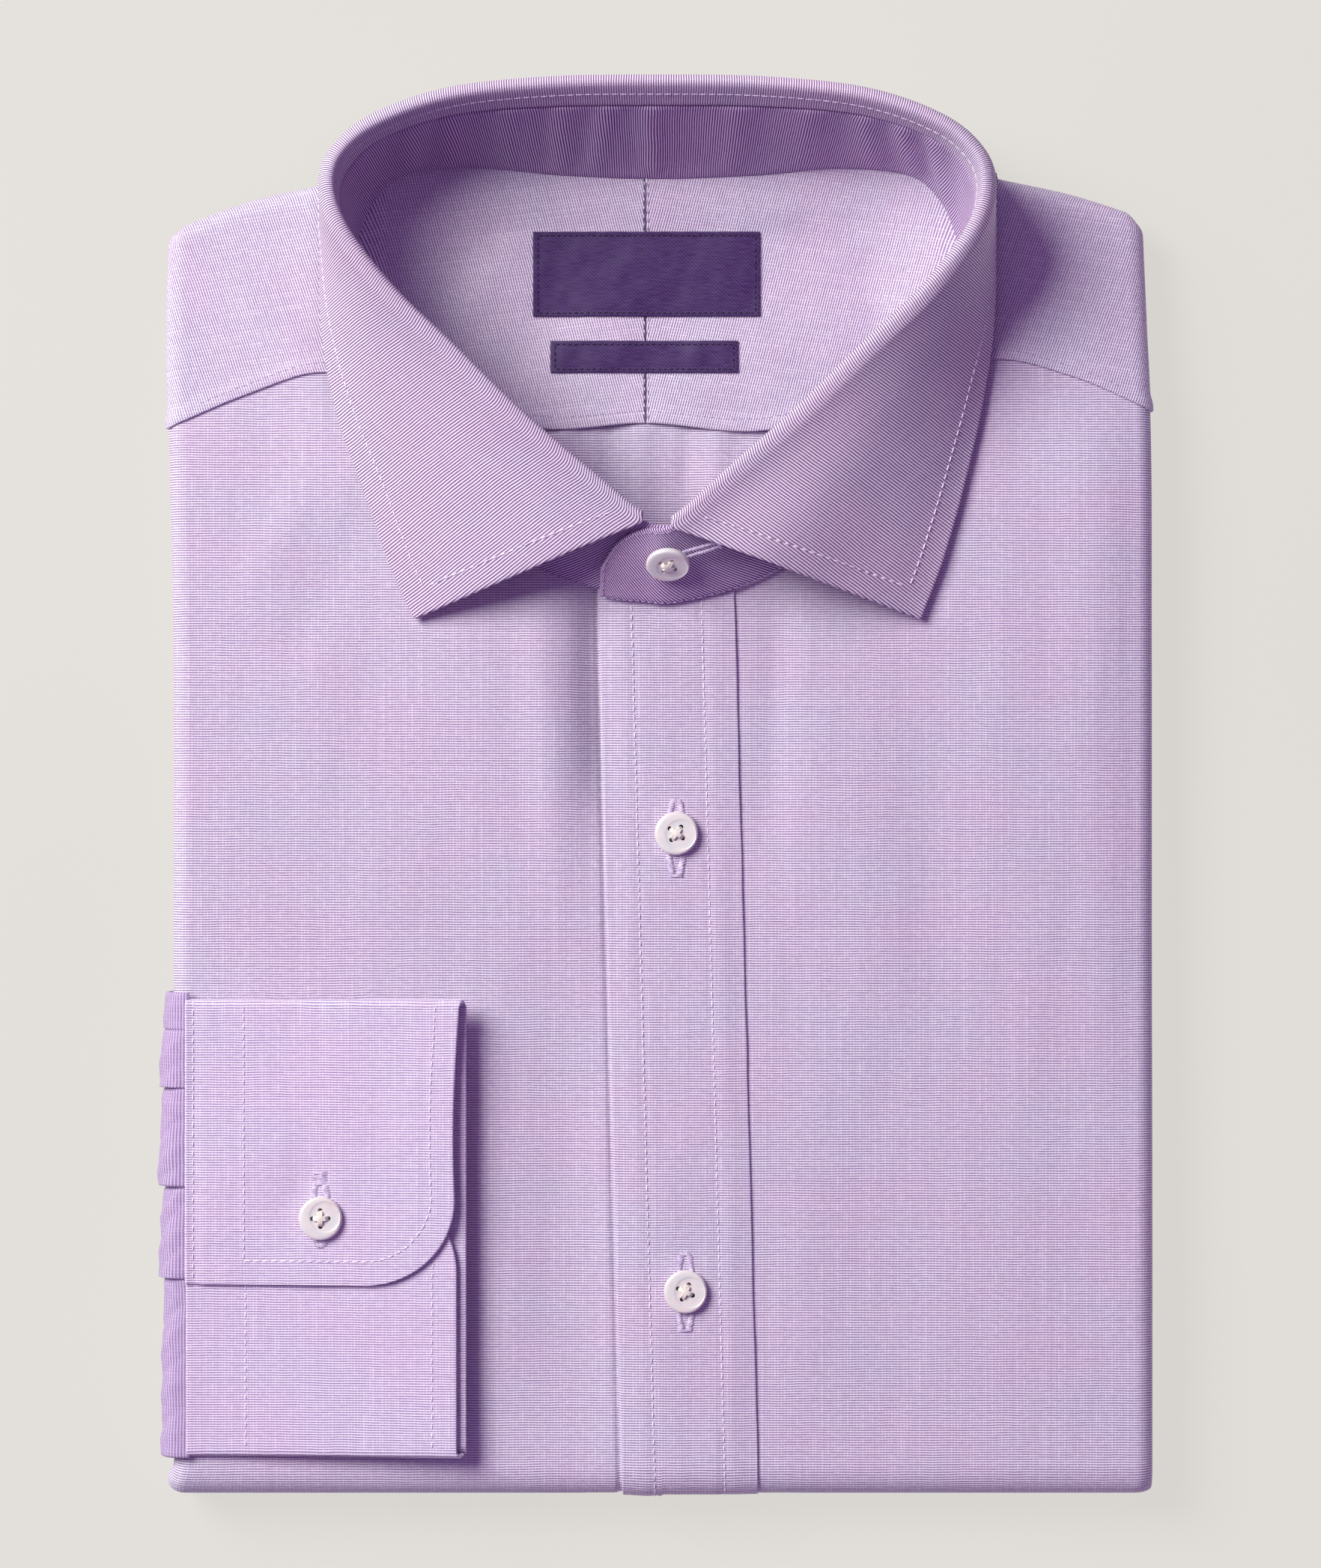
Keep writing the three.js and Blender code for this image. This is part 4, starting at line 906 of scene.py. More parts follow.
def third_corner(a, b, from_a, from_b):
    """The third corner of a triangle, to the right of the side from b up to a."""
    side = b - a
    length = np.hypot(*side)
    along = (from_a**2 - from_b**2 + length**2) / (2 * length)
    away = math.sqrt(max(0, from_a**2 - along**2))
    return a + side / length * along + np.array([-side[1], side[0]]) / length * away


def laid_flat(upper, lower, upright):
    """Unrolls the strip between two rows of points, so that the upright station stands upright."""
    def apart(a, b):
        return float(np.linalg.norm(a - b))
    a, b = np.zeros(2), np.array([0, -apart(upper[0], lower[0])])
    flat = [(a, b)]
    for k in range(len(upper) - 1):
        a_next = third_corner(a, b, apart(upper[k], upper[k + 1]), apart(lower[k], upper[k + 1]))
        b = third_corner(a_next, b, apart(upper[k + 1], lower[k + 1]), apart(lower[k], lower[k + 1]))
        if b[0] < flat[-1][1][0] - 5:
            b = flat[-1][1] + a_next - a
        a = a_next
        flat.append((a, b))
    flat = np.array(flat)
    down = unit(flat[upright, 1] - flat[upright, 0])
    turn = np.array([[-down[1], down[0]], [-down[0], -down[1]]])
    return (flat - flat[upright, 0]) @ turn.T


def collar_leaf():
    def middle_line(station):
        return leaf_middle(station, np.array([0.75]))[0]

    stations = stations_between(-LAST_STATION + 0.005, LAST_STATION - 0.005, middle_line, 1.35)
    shares = np.concatenate([
        spread(0, 0.5, 0.014, fine=0.006)[:-3], spread(0.5, 0.998, 0.0115, fine=0.003)[3:]])
    centre = leaf_middle(stations, shares)
    soft = 0.22 * ripple(centre[..., 0], centre[..., 1], 21, 42) * ease(LEAF_FALL, 0.7, shares)[:, None]
    outer = centre + grid_normals(centre) * (COLLAR_CLOTH / 2 + soft)[..., None]
    fall = int(np.searchsorted(shares, LEAF_FALL))
    flat = laid_flat(outer[fall], outer[-1], int(np.argmin(np.abs(stations))))
    down = flat[:, 1] - flat[:, 0]
    walked = walked_along(outer)
    walked = walked - walked[fall]
    scale = np.linalg.norm(down, axis=1) / walked[-1]
    places = flat[:, 0] + unit(down) * (walked * scale)[..., None]
    turn = -np.sign(stations) * np.radians(16) * ease(2.5, 9, np.abs(stations))
    straight = places[fall]
    along = straight[:, 1] - places[..., 1]
    across = (leaning_walk(straight[:, 0], turn) + (places[..., 0] - straight[:, 0]) * np.cos(turn)
              + along * np.sin(turn))
    sew("leaf_cloth", "collar_leaf", outer, COLLAR_CLOTH, np.stack([along, across], axis=-1),
        material=leaf_shirting_painted_shade)


collar_leaf()

# %% [markdown]
# ## Cuff and sleeve
# The cuff is one strip wound into a flat tube, so its layers show one over the other at the open
# edge. The sleeve comes out of the pack, turns round the side fold and is pleated into the cuff.

# %% Cuff
CUFF_LEFT, CUFF_RIGHT, CUFF_UNDER = -119.9, -50.6, -49.0
CUFF_TOP, CUFF_BOTTOM, CUFF_LAP, CUFF_INNER_END = -54.9, -169.6, -126.6, -101
CUFF_CORNER = 22.5
CUFF_CLOTH = 1.1
CUFF_PITCH = CUFF_CLOTH + GAP


def waist(y):
    """How far the cuff's right edge comes in between its corners."""
    return 1.6 * math.sin(math.pi * (CUFF_TOP - y) / 70)


def cuff_path():
    """y, height over the front, right edge and walked length of the cuff's middle, end to end."""
    low = GAP + CUFF_CLOTH / 2
    middle, high = low + CUFF_PITCH, low + 2 * CUFF_PITCH
    tight, wide = CUFF_PITCH / 2, CUFF_PITCH
    inner_right = CUFF_RIGHT - 0.8
    rows = []
    for y in spread(CUFF_INNER_END, CUFF_BOTTOM + tight, 1.6)[:-3]:
        corner = np.clip((y - (CUFF_INNER_END - CUFF_CORNER)) / CUFF_CORNER, 0, 1)
        rows.append((y, middle, inner_right - CUFF_CORNER * (1 - math.sqrt(1 - corner**2))))
    for turn in np.linspace(0, math.pi, 10)[1:-1]:
        rows.append((CUFF_BOTTOM + tight - tight * math.sin(turn), low + tight + tight * math.cos(turn),
                     mix(inner_right, CUFF_UNDER, turn / math.pi)))
    for y in np.linspace(CUFF_BOTTOM + tight, CUFF_TOP - wide, 60):
        rows.append((y, low, CUFF_UNDER))
    for turn in np.linspace(0, math.pi, 12)[1:-1]:
        rows.append((CUFF_TOP - wide + wide * math.sin(turn), low + wide - wide * math.cos(turn),
                     mix(CUFF_UNDER, CUFF_RIGHT, turn / math.pi)))
    corner_start = CUFF_LAP + CUFF_CORNER
    for y in np.linspace(CUFF_TOP - wide, corner_start, 36):
        rows.append((y, high, CUFF_RIGHT - waist(y)))
    for turn in [*np.linspace(0, math.pi / 2 - 0.16, 26)[1:], 1.47, 1.52, 1.55, math.pi / 2]:
        right = (CUFF_RIGHT - waist(corner_start) * (1 - turn / 1.571)
                 - CUFF_CORNER * (1 - math.cos(turn)) * 1.06)
        rows.append((corner_start - CUFF_CORNER * math.sin(turn), high, right))
    path = np.array(rows)
    return np.column_stack([path, walked_along(path[:, :2])])


def cuff_lift(x):
    """The stiff cuff springs up a little towards its open edge."""
    return 6.4 * np.clip((x + 116) / 66, 0, 1) ** 1.4


def cuff_wall():
    path = cuff_path()
    y, out, right, walked = path.T
    tangent = unit(np.column_stack([np.gradient(y, walked), np.gradient(out, walked)]))
    shares = spread(0, 1, 1 / 62, fine=0.004)
    x = CUFF_LEFT + shares[None, :] * (right - CUFF_LEFT)[:, None]
    half = CUFF_CLOTH / 2
    face_y = np.broadcast_to((y + half * tangent[:, 1])[:, None], x.shape)
    face_out = (out - half * tangent[:, 0])[:, None]
    upper = ease(150, 160, walked)[:, None]
    puff = upper * (0.22 * np.exp(-(((x + 104) / 9) ** 2)) + 0.42 * ripple(x, face_y, 31, 34)
                    - 1.1 * np.exp(-((x + 91) / 6) ** 2 - ((face_y + 103) / 9) ** 2))
    lift = cuff_lift(x) * np.clip(0.85 + face_out / 25, 0.85, 1)
    left_seam = -0.5 * np.exp(-(((x - CUFF_LEFT - 1.8) / 1.4) ** 2)) * upper
    outer = folded(x, face_y, face_out + puff * 0.8 + lift + left_seam)
    pattern = np.stack([x, np.broadcast_to(walked[:, None], x.shape)], axis=-1)
    sew("cuff_cloth", "cuff", outer, CUFF_CLOTH * 0.86, pattern,
        material=cuff_shirting_painted_light, flip=True)


cuff_wall()

# %% Sleeve end
SLEEVE_TOP, SLEEVE_BOTTOM, SLEEVE_END = -52.6, -171.0, -119.3
SLEEVE_CLOTH = 1.8
# upper end, height and run of each pleat that is folded into the cuff seam
PLEATS = [(-52.6, 0.5, 9.7), (-62.3, 1.8, 14.9), (-77.2, 2.1, 25), (-102.2, 1.9, 23.3), (-125.5, 1.4, 50)]
# y, half width, height and slant of the crinkles between the pleats
CRINKLES = [
    (-57, 1.4, 0.4, 0.5), (-67, 1.6, 0.5, 0.9), (-72, 1.2, -0.5, 0.8), (-82, 1.5, 0.6, -0.5),
    (-87, 1.1, -0.5, 0.9), (-94, 1.8, 0.5, 1.1), (-98.5, 1.1, -0.5, 0.7), (-106, 1.4, 0.6, 1.0),
    (-110, 1.0, -0.6, 1.2), (-115, 1.6, 0.6, 0.9), (-120, 1.1, -0.5, 1.2), (-129, 1.3, 0.5, -0.6),
    (-134, 1.2, -0.6, 0.8), (-140, 2.0, 0.6, 1.1), (-147, 1.3, -0.5, 0.9), (-153, 1.8, 0.5, 0.6),
    (-160, 1.4, -0.4, 0.8), (-165, 1.5, 0.4, 0.4),
]


def pleat_height(y):
    """Each pleat rises towards its lower edge and drops there onto the next one."""
    height = np.zeros_like(y)
    for place, rise, run in PLEATS:
        below = place - y
        shape = rise * (0.15 + 0.85 * np.clip(below / run, 0, 1) ** 0.6) * (1 - ease(run - 0.35, run, below))
        height = np.maximum(height, np.where(below > 0, shape, 0))
    return height


def crinkle_height(y, walked):
    total = 0.0
    for place, half, height, slant in CRINKLES:
        total = total + height * np.exp(-(((y - place + slant * (walked - 4)) / half) ** 2))
    return total


def sleeve_end():
    radius = SIDE_RADIUS + GAP + SLEEVE_CLOTH / 2
    drops = [place + close for place, _, _ in PLEATS[1:] for close in (0, 0.1, 0.22, 0.35)]
    ys = np.unique(np.concatenate([spread(SLEEVE_TOP, SLEEVE_BOTTOM, 0.85), drops]))[::-1, None]
    axis_x = -(side_edge(-1.0, ys) - SIDE_RADIUS)
    axis_z = level_height(axis_x, ys) - SIDE_RADIUS
    first, last = np.arcsin((axis_x - SLEEVE_END) / radius), 2.3
    shares = np.concatenate([spread(0, 1, 1 / 26, 0.01)[:-3], np.linspace(1, 2, 14)[1:]])
    turn = mix(first, last, np.minimum(shares, 1))
    # past the turn the cloth tucks in flat, along a curve with one bend
    tuck = np.clip(shares - 1, 0, 1)

    def tucked(start, bend, end):
        return (1 - tuck) ** 2 * start + 2 * tuck * (1 - tuck) * bend + tuck**2 * end

    tucked_x = tucked(axis_x - radius * math.sin(last), axis_x - 1.5, -114.0)
    tucked_z = tucked(axis_z + radius * math.cos(last), 10.1, 10.0)
    x = np.where(shares > 1, tucked_x, axis_x - radius * np.sin(turn))
    z = np.where(shares > 1, tucked_z, axis_z + radius * np.cos(turn))
    y = np.broadcast_to(ys, x.shape)
    centre = np.stack([x, y, z], axis=-1)
    fade = (1 - ease(0.55, 1.1, shares)) * (0.25 + 0.75 * ease(0, 0.35, shares))
    crinkle = 0.6 * crinkle_height(ys, shares * 14) + 0.2 * ripple(ys, turn * 4, 43, 21)
    at_cuff = 0.9 * ease(-129, -123, ys) * (1 - ease(0.1, 0.5, shares))
    lift = SLEEVE_CLOTH / 2 + at_cuff + (pleat_height(ys) + crinkle) * fade
    ends = np.minimum(1, np.minimum(SLEEVE_TOP - ys, ys - SLEEVE_BOTTOM) / 1.5 + 0.6)
    outer = centre + grid_normals(centre) * (lift * ends)[..., None]
    sew("sleeve_cloth", "sleeve_end", outer, 0.9, np.stack([y, walked_along(centre, 1)], axis=-1),
        material=sleeve_shirting_painted_shade)


sleeve_end()

# %% [markdown]
# ## The hidden layers
# Inside the fold are the back, both sleeves and the rest of the body. Only their folded edges show
# at the sides and at the shoulder end, so they share one form with rounded edges one over another.

# %% Folded layers
def low_near(x, y):
    reach = 7 * (1 - ease(100, 112, np.abs(x)))
    steps = [(0, 0), (1, 0), (-1, 0), (0, 1), (0, -1), (0.7, 0.7), (-0.7, 0.7), (0.7, -0.7), (-0.7, -0.7)]
    return np.min([level_height(x + dx * reach, y + dy * reach) for dx, dy in steps], axis=0)


def core_end(x):
    from_neck = np.abs(x - NECK_X)
    shoulder = shoulder_line(x) - SIDE_RADIUS - 0.9
    at_neck = neck_seam_y(np.clip(x, NECK_X - 70, NECK_X + 70), True) - 1.4
    return mix(at_neck, shoulder, ease(66, 78, from_neck))


# inset and depth down the rounded cloth at the top and at the foot, then the same for one layer
CAP_ROUND = [(4.5, 2.0), (2.9, 2.8), (2.2, 4.6), (2.8, 6.1), (4.2, 6.8)]
LAYER_ROUND = [(0.04, 2.2), (0.16, 0.6), (0.34, 0.1), (0.5, 0.0), (0.66, 0.1), (0.84, 0.6), (0.96, 2.2)]
LAYER_INSETS = (1.2, 2.0, 0.9, 1.6, 1.1)
CAP = 7.3


def layer_profile():
    """Rows of inset and depth down one side: under the top fold, the stacked edges, the tail."""
    rows = [("top", *row) for row in CAP_ROUND]
    for layer, inset in enumerate(LAYER_INSETS):
        rows += [("middle", inset + extra, (layer + place) / len(LAYER_INSETS))
                 for place, extra in LAYER_ROUND]
    return rows + [("foot", *row) for row in CAP_ROUND[::-1]]


def core_y(x, place):
    return mix(TAIL_AXIS_Y, core_end(x), place)


def core_side(side, place):
    """One side of the hidden layers, from under the top fold down to the table."""
    y_here = mix(TAIL_AXIS_Y, 150, place)
    edge = float(side_edge(side, y_here))
    rest_x = side * (edge - SIDE_RADIUS)
    y = float(core_y(rest_x, place))
    top = float(level_height(rest_x, y_here))
    room = top - CAP - CAP
    # room for the sleeve end, which turns in under the cuff
    pocket = 0.0
    if side < 0:
        pocket = 12 * float(ease(-174, -170, y_here) * (1 - ease(-53.6, -49.6, y_here)))
    row = []
    for level, inset, down in layer_profile():
        z = top - down if level == "top" else down
        if level == "middle":
            z = mix(CAP + max(room, 0.4), CAP, down)
            inset += pocket + 3 * (1 - float(ease(1.2, 3.5, room)))
            inset += 0.35 * math.sin(y_here * 0.09 + down * 40) + 0.15 * math.sin(y_here * 0.31 + down * 17)
        elif down == CAP_ROUND[-1][1]:
            inset += pocket
        row.append((side * (edge - inset), y, z))
    return row if side > 0 else row[::-1]


def core_rings():
    """Closed rings of points across the hidden layers, from the tail fold to the shoulders."""
    uppers = np.concatenate([np.linspace(-118, -104, 4), np.linspace(-98, 98, 50), np.linspace(104, 118, 4)])
    rings = []
    for place in np.linspace(0, 1, 96):
        y = core_y(uppers, place)
        top = np.stack([uppers, y, low_near(uppers, y) - 4.4], axis=-1)
        under = [(x, float(core_y(x, place)), 2.0 if abs(x) > 40 else 3.4)
                 for x in np.linspace(112, -112, 33)]
        rings.append(np.concatenate([top, core_side(1.0, place), under, core_side(-1.0, place)]))
    start = rings[0]
    nested = start[:, 2] - TAIL_RADIUS
    tail = [np.column_stack([start[:, 0], TAIL_AXIS_Y - np.abs(nested) * math.sin(turn),
                             TAIL_RADIUS + nested * math.cos(turn)])
            for turn in (1.25, 1.0, 0.75, 0.5, 0.25)]
    return np.stack(tail + rings)


def folded_inside():
    grid = core_rings()
    rows, cols = grid.shape[:2]
    j, i = np.mgrid[0:rows - 1, 0:cols]
    after = (i + 1) % cols
    quads = np.stack([j * cols + i, j * cols + after, (j + 1) * cols + after, (j + 1) * cols + i], axis=-1)
    faces = quads.reshape(-1, 4).tolist()
    faces += [list(range(cols))[::-1], list(range((rows - 1) * cols, rows * cols))]
    around = np.cumsum(np.linalg.norm(np.diff(grid, axis=1, append=grid[:, :1]), axis=-1), axis=1)
    pattern = np.stack([grid[..., 1], around], axis=-1).reshape(-1, 2)
    piece = build_mesh("folded_inside", grid.reshape(-1, 3), faces, shirting, pattern)
    form = bmesh.new()
    form.from_mesh(piece.data)
    bmesh.ops.triangulate(form, faces=[face for face in form.faces if len(face.verts) > 4])
    bmesh.ops.recalc_face_normals(form, faces=form.faces)
    form.to_mesh(piece.data)
    form.free()
    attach(piece, "root")
    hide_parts("folded_layers")


folded_inside()

# %% [markdown]
# ## Labels
# Two woven labels are sewn inside the yoke. They are left plain, with a satin weave and a stitched
# border.

# %% Labels
def satin(name, color, dark):
    label = Finish(name, Roughness=0.5, Sheen_Weight=0.3, Sheen_Roughness=0.3, Specular_IOR_Level=0.5)
    along, across = label.pattern_places()
    twill = ((along + across) * 1.05 * TURN).cosine().smooth(-0.8, 0.8)
    place = label.node("ShaderNodeCombineXYZ", {}, along * 0.3, across * 3.0, 0.0)
    uneven = label.noise(place, 1.0).smooth(0.3, 0.7)
    woven = label.blend_colors(dark, color, twill * 0.6 + uneven * 0.4)
    bump = label.node("ShaderNodeBump", {}, Strength=0.5, Distance=0.00008, Height=twill)
    label.feed(Base_Color=woven, Normal=bump, Roughness=uneven.smooth(0, 1, 0.42, 0.6))
    return label.material


label_satin = satin("label_satin", paint(81, 49, 113), paint(41, 20, 66))
# name, node, x, y, width, height
LABELS = [("label_upper_cloth", "label_upper", -3.6, 130.3, 58, 21.6),
          ("label_lower_cloth", "label_lower", -4.2, 109.2, 48, 8.2)]


def sewn_label(name, node, x, y, width, height):
    us = spread(-width / 2, width / 2, 1.2, fine=0.15)
    vs = spread(-height / 2, height / 2, 0.9, fine=0.15)
    u, v = np.meshgrid(us, vs)
    pucker = 0.1 * ripple(u * 2, v * 2, 51, 14)
    border = np.minimum(width / 2 - np.abs(u), height / 2 - np.abs(v))
    dip = -0.12 * np.exp(-(((border - 1.1) / 0.45) ** 2))
    outer = folded(x + u, y + v, 0.95 + pucker + dip)
    sew(name, node, outer, 0.6, np.stack([u, v], axis=-1),
        material=label_satin)


for label_row in LABELS:
    sewn_label(*label_row)

# %% [markdown]
# ## Stitches
# A row of stitches is many small thread capsules laid along a line on the cloth, each sunk a little
# at its ends. A line is given in the grid of its piece, so it follows the piece's own surface.

# %% Thread
def spun_thread(name, color, dark):
    thread = Finish(name, Roughness=0.6, Sheen_Weight=0.25, Specular_IOR_Level=0.3)
    spot = thread.node("ShaderNodeTexCoord", {}, output=3)
    uneven = thread.noise(spot, 900.0, detail=2.0).smooth(0.3, 0.7)
    thread.feed(Base_Color=thread.blend_colors(dark, color, uneven))
    return thread.material


# group of threads, name of its finish, light and dark colour
THREAD_COLORS = [
    ("stitches_light", "light_thread", (248, 240, 251), (222, 208, 232)),
    ("stitches_lilac", "lilac_thread", (206, 188, 220), (160, 138, 182)),
    ("stitches_purple", "purple_thread", (120, 92, 146), (70, 48, 92)),
    ("stitches_label", "label_thread", (58, 36, 84), (30, 14, 48)),
    ("buttonhole_thread", "hole_thread", (236, 224, 242), (196, 180, 212)),
    ("button_threads", "cream_thread", (250, 247, 238), (232, 223, 206)),
]
THREAD_FINISH = {group: spun_thread(name, paint(*light), paint(*dark))
                 for group, name, light, dark in THREAD_COLORS}


def ring_faces(rings, sides):
    """Faces of a form made of rings of points, one after another, with a cap at each end."""
    faces = []
    for ring in range(rings - 1):
        for k in range(sides):
            a, b = ring * sides + k, ring * sides + (k + 1) % sides
            faces.append((a, b, b + sides, a + sides))
    last = (rings - 1) * sides
    return faces + [tuple(range(sides))[::-1], tuple(range(last, last + sides))]


def capsule(sides=6):
    """Rings of a thread capsule: share of its length, share of its radius, and how far it is sunk."""
    rings = [(-0.5, 0.3, 1.0), (-0.36, 0.9, 0.35), (0.0, 1.0, 0.0), (0.36, 0.9, 0.35), (0.5, 0.3, 1.0)]
    angles = [TURN * k / sides for k in range(sides)]
    points = [(share, radius * math.cos(angle), radius * math.sin(angle), sink)
              for share, radius, sink in rings for angle in angles]
    return np.array(points), ring_faces(len(rings), sides)


CAPSULE, CAPSULE_FACES = capsule()
THREADS = {group: [] for group, *_ in THREAD_COLORS}


def lay_thread(group, centres, directions, normals, length, width):
    """Adds thread capsules to a group: one for each centre, lying along its direction."""
    along = unit(np.asarray(directions, dtype=float))
    up = np.asarray(normals, dtype=float)
    up = unit(up - (up * along).sum(axis=-1, keepdims=True) * along)
    side = np.cross(up, along)
    length = np.broadcast_to(length, (len(centres),))
    share, across, rise, sunk = CAPSULE.T
    points = (np.asarray(centres)[:, None] + along[:, None] * (share[None, :] * length[:, None])[..., None]
              + side[:, None] * (across * width / 2)[None, :, None]
              + up[:, None] * ((rise - sunk) * width / 2)[None, :, None])
    THREADS[group] += [(strand, CAPSULE_FACES) for strand in points]


def on_piece(name, rows, cols):
    """Points and normals of a piece's face at places in its grid, between grid points too."""
    grid, normals = PIECES[name]["outer"], PIECES[name]["normal"]
    rows = np.clip(rows, 0, grid.shape[0] - 1.001)
    cols = np.clip(cols, 0, grid.shape[1] - 1.001)
    j, i = rows.astype(int), cols.astype(int)
    t, s = (rows - j)[:, None], (cols - i)[:, None]

    def between(field):
        return mix(mix(field[j, i], field[j, i + 1], s), mix(field[j + 1, i], field[j + 1, i + 1], s), t)

    return between(grid), unit(between(normals))


def stitch_line(group, points, normals, pitch=2.3, fill=0.74, width=0.32):
    """Stitches of one pitch along a line of points."""
    walked = walked_along(points)
    count = int(walked[-1] / pitch)
    if count < 1:
        return

    def at(values, where):
        return np.column_stack([np.interp(where, walked, values[:, k]) for k in range(3)])

    places = (np.arange(count) + 0.5) * walked[-1] / count
    reach = pitch * fill / 2 * np.random.default_rng(1).uniform(0.9, 1.05, count)
    ahead, behind = at(points, places + reach), at(points, places - reach)
    normal = unit(at(normals, places))
    centre = (ahead + behind) / 2 + normal * 0.3 * width
    lay_thread(group, centre, ahead - behind, normal, np.linalg.norm(ahead - behind, axis=1), width)


def line_on(name, rows, cols, group="stitches_light", samples=400, **stitch):
    """A row of stitches through places given in a piece's grid."""
    knots = np.column_stack([rows, cols]).astype(float)
    place = np.linspace(0, len(knots) - 1, samples)
    path = [np.interp(place, np.arange(len(knots)), knots[:, k]) for k in range(2)]
    stitch_line(group, *on_piece(name, *path), **stitch)


def column_at(name, row, value):
    """Where a pattern coordinate is met along one row of a piece's grid."""
    line = PIECES[name]["pattern"][row, :, 0]
    order = np.argsort(line)
    return float(np.interp(value, line[order], np.arange(len(line))[order]))


# %% Stitches on the placket, yoke and cuff
placket_grid = PIECES["placket_cloth"]["pattern"]
for offset in (-PLACKET_WIDTH / 2 + 8.3, PLACKET_WIDTH / 2 - 8.5):
    rows = np.arange(2, len(placket_grid) - 2, 3)
    cols = [column_at("placket_cloth", row, placket_centre(placket_grid[row, 0, 1]) + offset) for row in rows]
    line_on("placket_cloth", rows, cols, samples=1500, pitch=2.3, width=0.36)

for side, name in ((-1, "yoke_left_cloth"), (1, "yoke_right_cloth")):
    cols = np.arange(3, PIECES[name]["outer"].shape[1] - 14)
    line_on(name, np.full(len(cols), 5.2), cols, group="stitches_lilac", samples=900, pitch=1.9, width=0.2)
    rows = np.arange(3, PIECES[name]["outer"].shape[0] - 3)
    group = "stitches_purple" if side < 0 else "stitches_lilac"
    line_on(name, rows, np.full(len(rows), 2.6), group=group, pitch=2.1, width=0.3)

def cuff_line(places, **stitch):
    """Stitches on the cuff through x and walked length."""
    pattern = PIECES["cuff_cloth"]["pattern"]
    rows = [float(np.interp(walked, pattern[:, 0, 1], np.arange(len(pattern)))) for _, walked in places]
    cols = [column_at("cuff_cloth", int(row), x) for row, (x, _) in zip(rows, places)]
    line_on("cuff_cloth", rows, cols, pitch=2.3, width=0.36, **stitch)


CUFF_STITCH = 6.0
cuff_walked = PIECES["cuff_cloth"]["pattern"][:, 0, 1]
cuff_end = cuff_walked[-1]
top_fold = float(cuff_walked[np.argmax(cuff_path()[:, 0])])
down_edge = [(CUFF_RIGHT - CUFF_STITCH - 1.6 * math.sin(math.pi * share / 1.4),
              mix(top_fold + 2, cuff_end - CUFF_CORNER, share)) for share in np.linspace(0, 1, 12)]
inner_corner = CUFF_CORNER - CUFF_STITCH
corner_line = [(CUFF_RIGHT - CUFF_CORNER - 1.2 + inner_corner * math.cos(turn),
                cuff_end - CUFF_CORNER + inner_corner * math.sin(turn))
               for turn in np.linspace(0, math.pi / 2, 14)]
across_line = [(x, cuff_end - CUFF_STITCH) for x in np.linspace(corner_line[-1][0], -105.5, 12)]
cuff_line(down_edge + corner_line + across_line[1:], samples=900)
# x of each straight row of stitches, and the walked length at its two ends
for x, start, end in ((-105.4, top_fold + 2, cuff_end - CUFF_STITCH),
                      (CUFF_LEFT + 1.6, top_fold + 1, cuff_end - 1), (-105.0, 2, 67), (-57.6, 2, 67)):
    cuff_line([(x, walked) for walked in np.linspace(start, end, 11)])

# %% Stitches round the collar leaf
LEAF_STITCH = 6.5


def leaf_stitching():
    """Stitches along the leaf's edge and down its two ends, one distance in."""
    grid = PIECES["leaf_cloth"]["outer"]
    rows, cols = grid.shape[:2]
    down, to_left = walked_along(grid), walked_along(grid, 1)
    to_right = to_left[:, -1:] - to_left
    row_line = np.array([np.interp(down[-1, c] - LEAF_STITCH, down[:, c], np.arange(rows))
                         for c in range(cols)])
    near_edge = rows - 12
    first = int(np.argmax(to_left[near_edge] > LEAF_STITCH))
    last = int(cols - 1 - np.argmax(to_right[near_edge, ::-1] > LEAF_STITCH))
    keep = np.arange(first, last + 1)
    line_on("leaf_cloth", row_line[keep], keep, samples=2500, pitch=2.3, width=0.38)
    for distance, end_col, order in ((to_left, first, 1), (to_right, last, -1)):
        rows_here = np.arange(int(rows * 0.46), int(row_line[end_col]) + 1)
        cols_here = [np.interp(LEAF_STITCH, distance[row][::order], np.arange(cols)[::order])
                     for row in rows_here]
        line_on("leaf_cloth", rows_here, cols_here, samples=700, pitch=2.3, width=0.38)


leaf_stitching()
leaf_cols = PIECES["leaf_cloth"]["outer"].shape[1]
inside_cols = np.arange(4, leaf_cols - 4)
line_on("leaf_cloth", np.full(len(inside_cols), 8.0), inside_cols, samples=2500,
        pitch=2.2, fill=0.92, width=0.24)

# %% Stitches on the stand and the labels
stand_rows, stand_cols = PIECES["stand_cloth"]["outer"].shape[:2]
cols = np.arange(4, stand_cols - 4)
for row in (2.5, stand_rows - 5.0):
    line_on("stand_cloth", np.full(len(cols), row), cols, group="stitches_lilac", samples=2500,
            pitch=1.6, width=0.26)

rows = np.arange(3, stand_rows - 5)
line_on("stand_cloth", rows, np.full(len(rows), stand_cols - 5.0), group="stitches_lilac",
        pitch=1.6, width=0.3)

for name, _, _, _, width, height in LABELS:
    rows, cols = PIECES[name]["outer"].shape[:2]
    loop = [(4, 4), (4, cols - 5), (rows - 5, cols - 5), (rows - 5, 4), (4, 4)]
    for (row_a, col_a), (row_b, col_b) in zip(loop, loop[1:]):
        line_on(name, np.linspace(row_a, row_b, 20), np.linspace(col_a, col_b, 20),
                group="stitches_label", pitch=1.5, width=0.42)

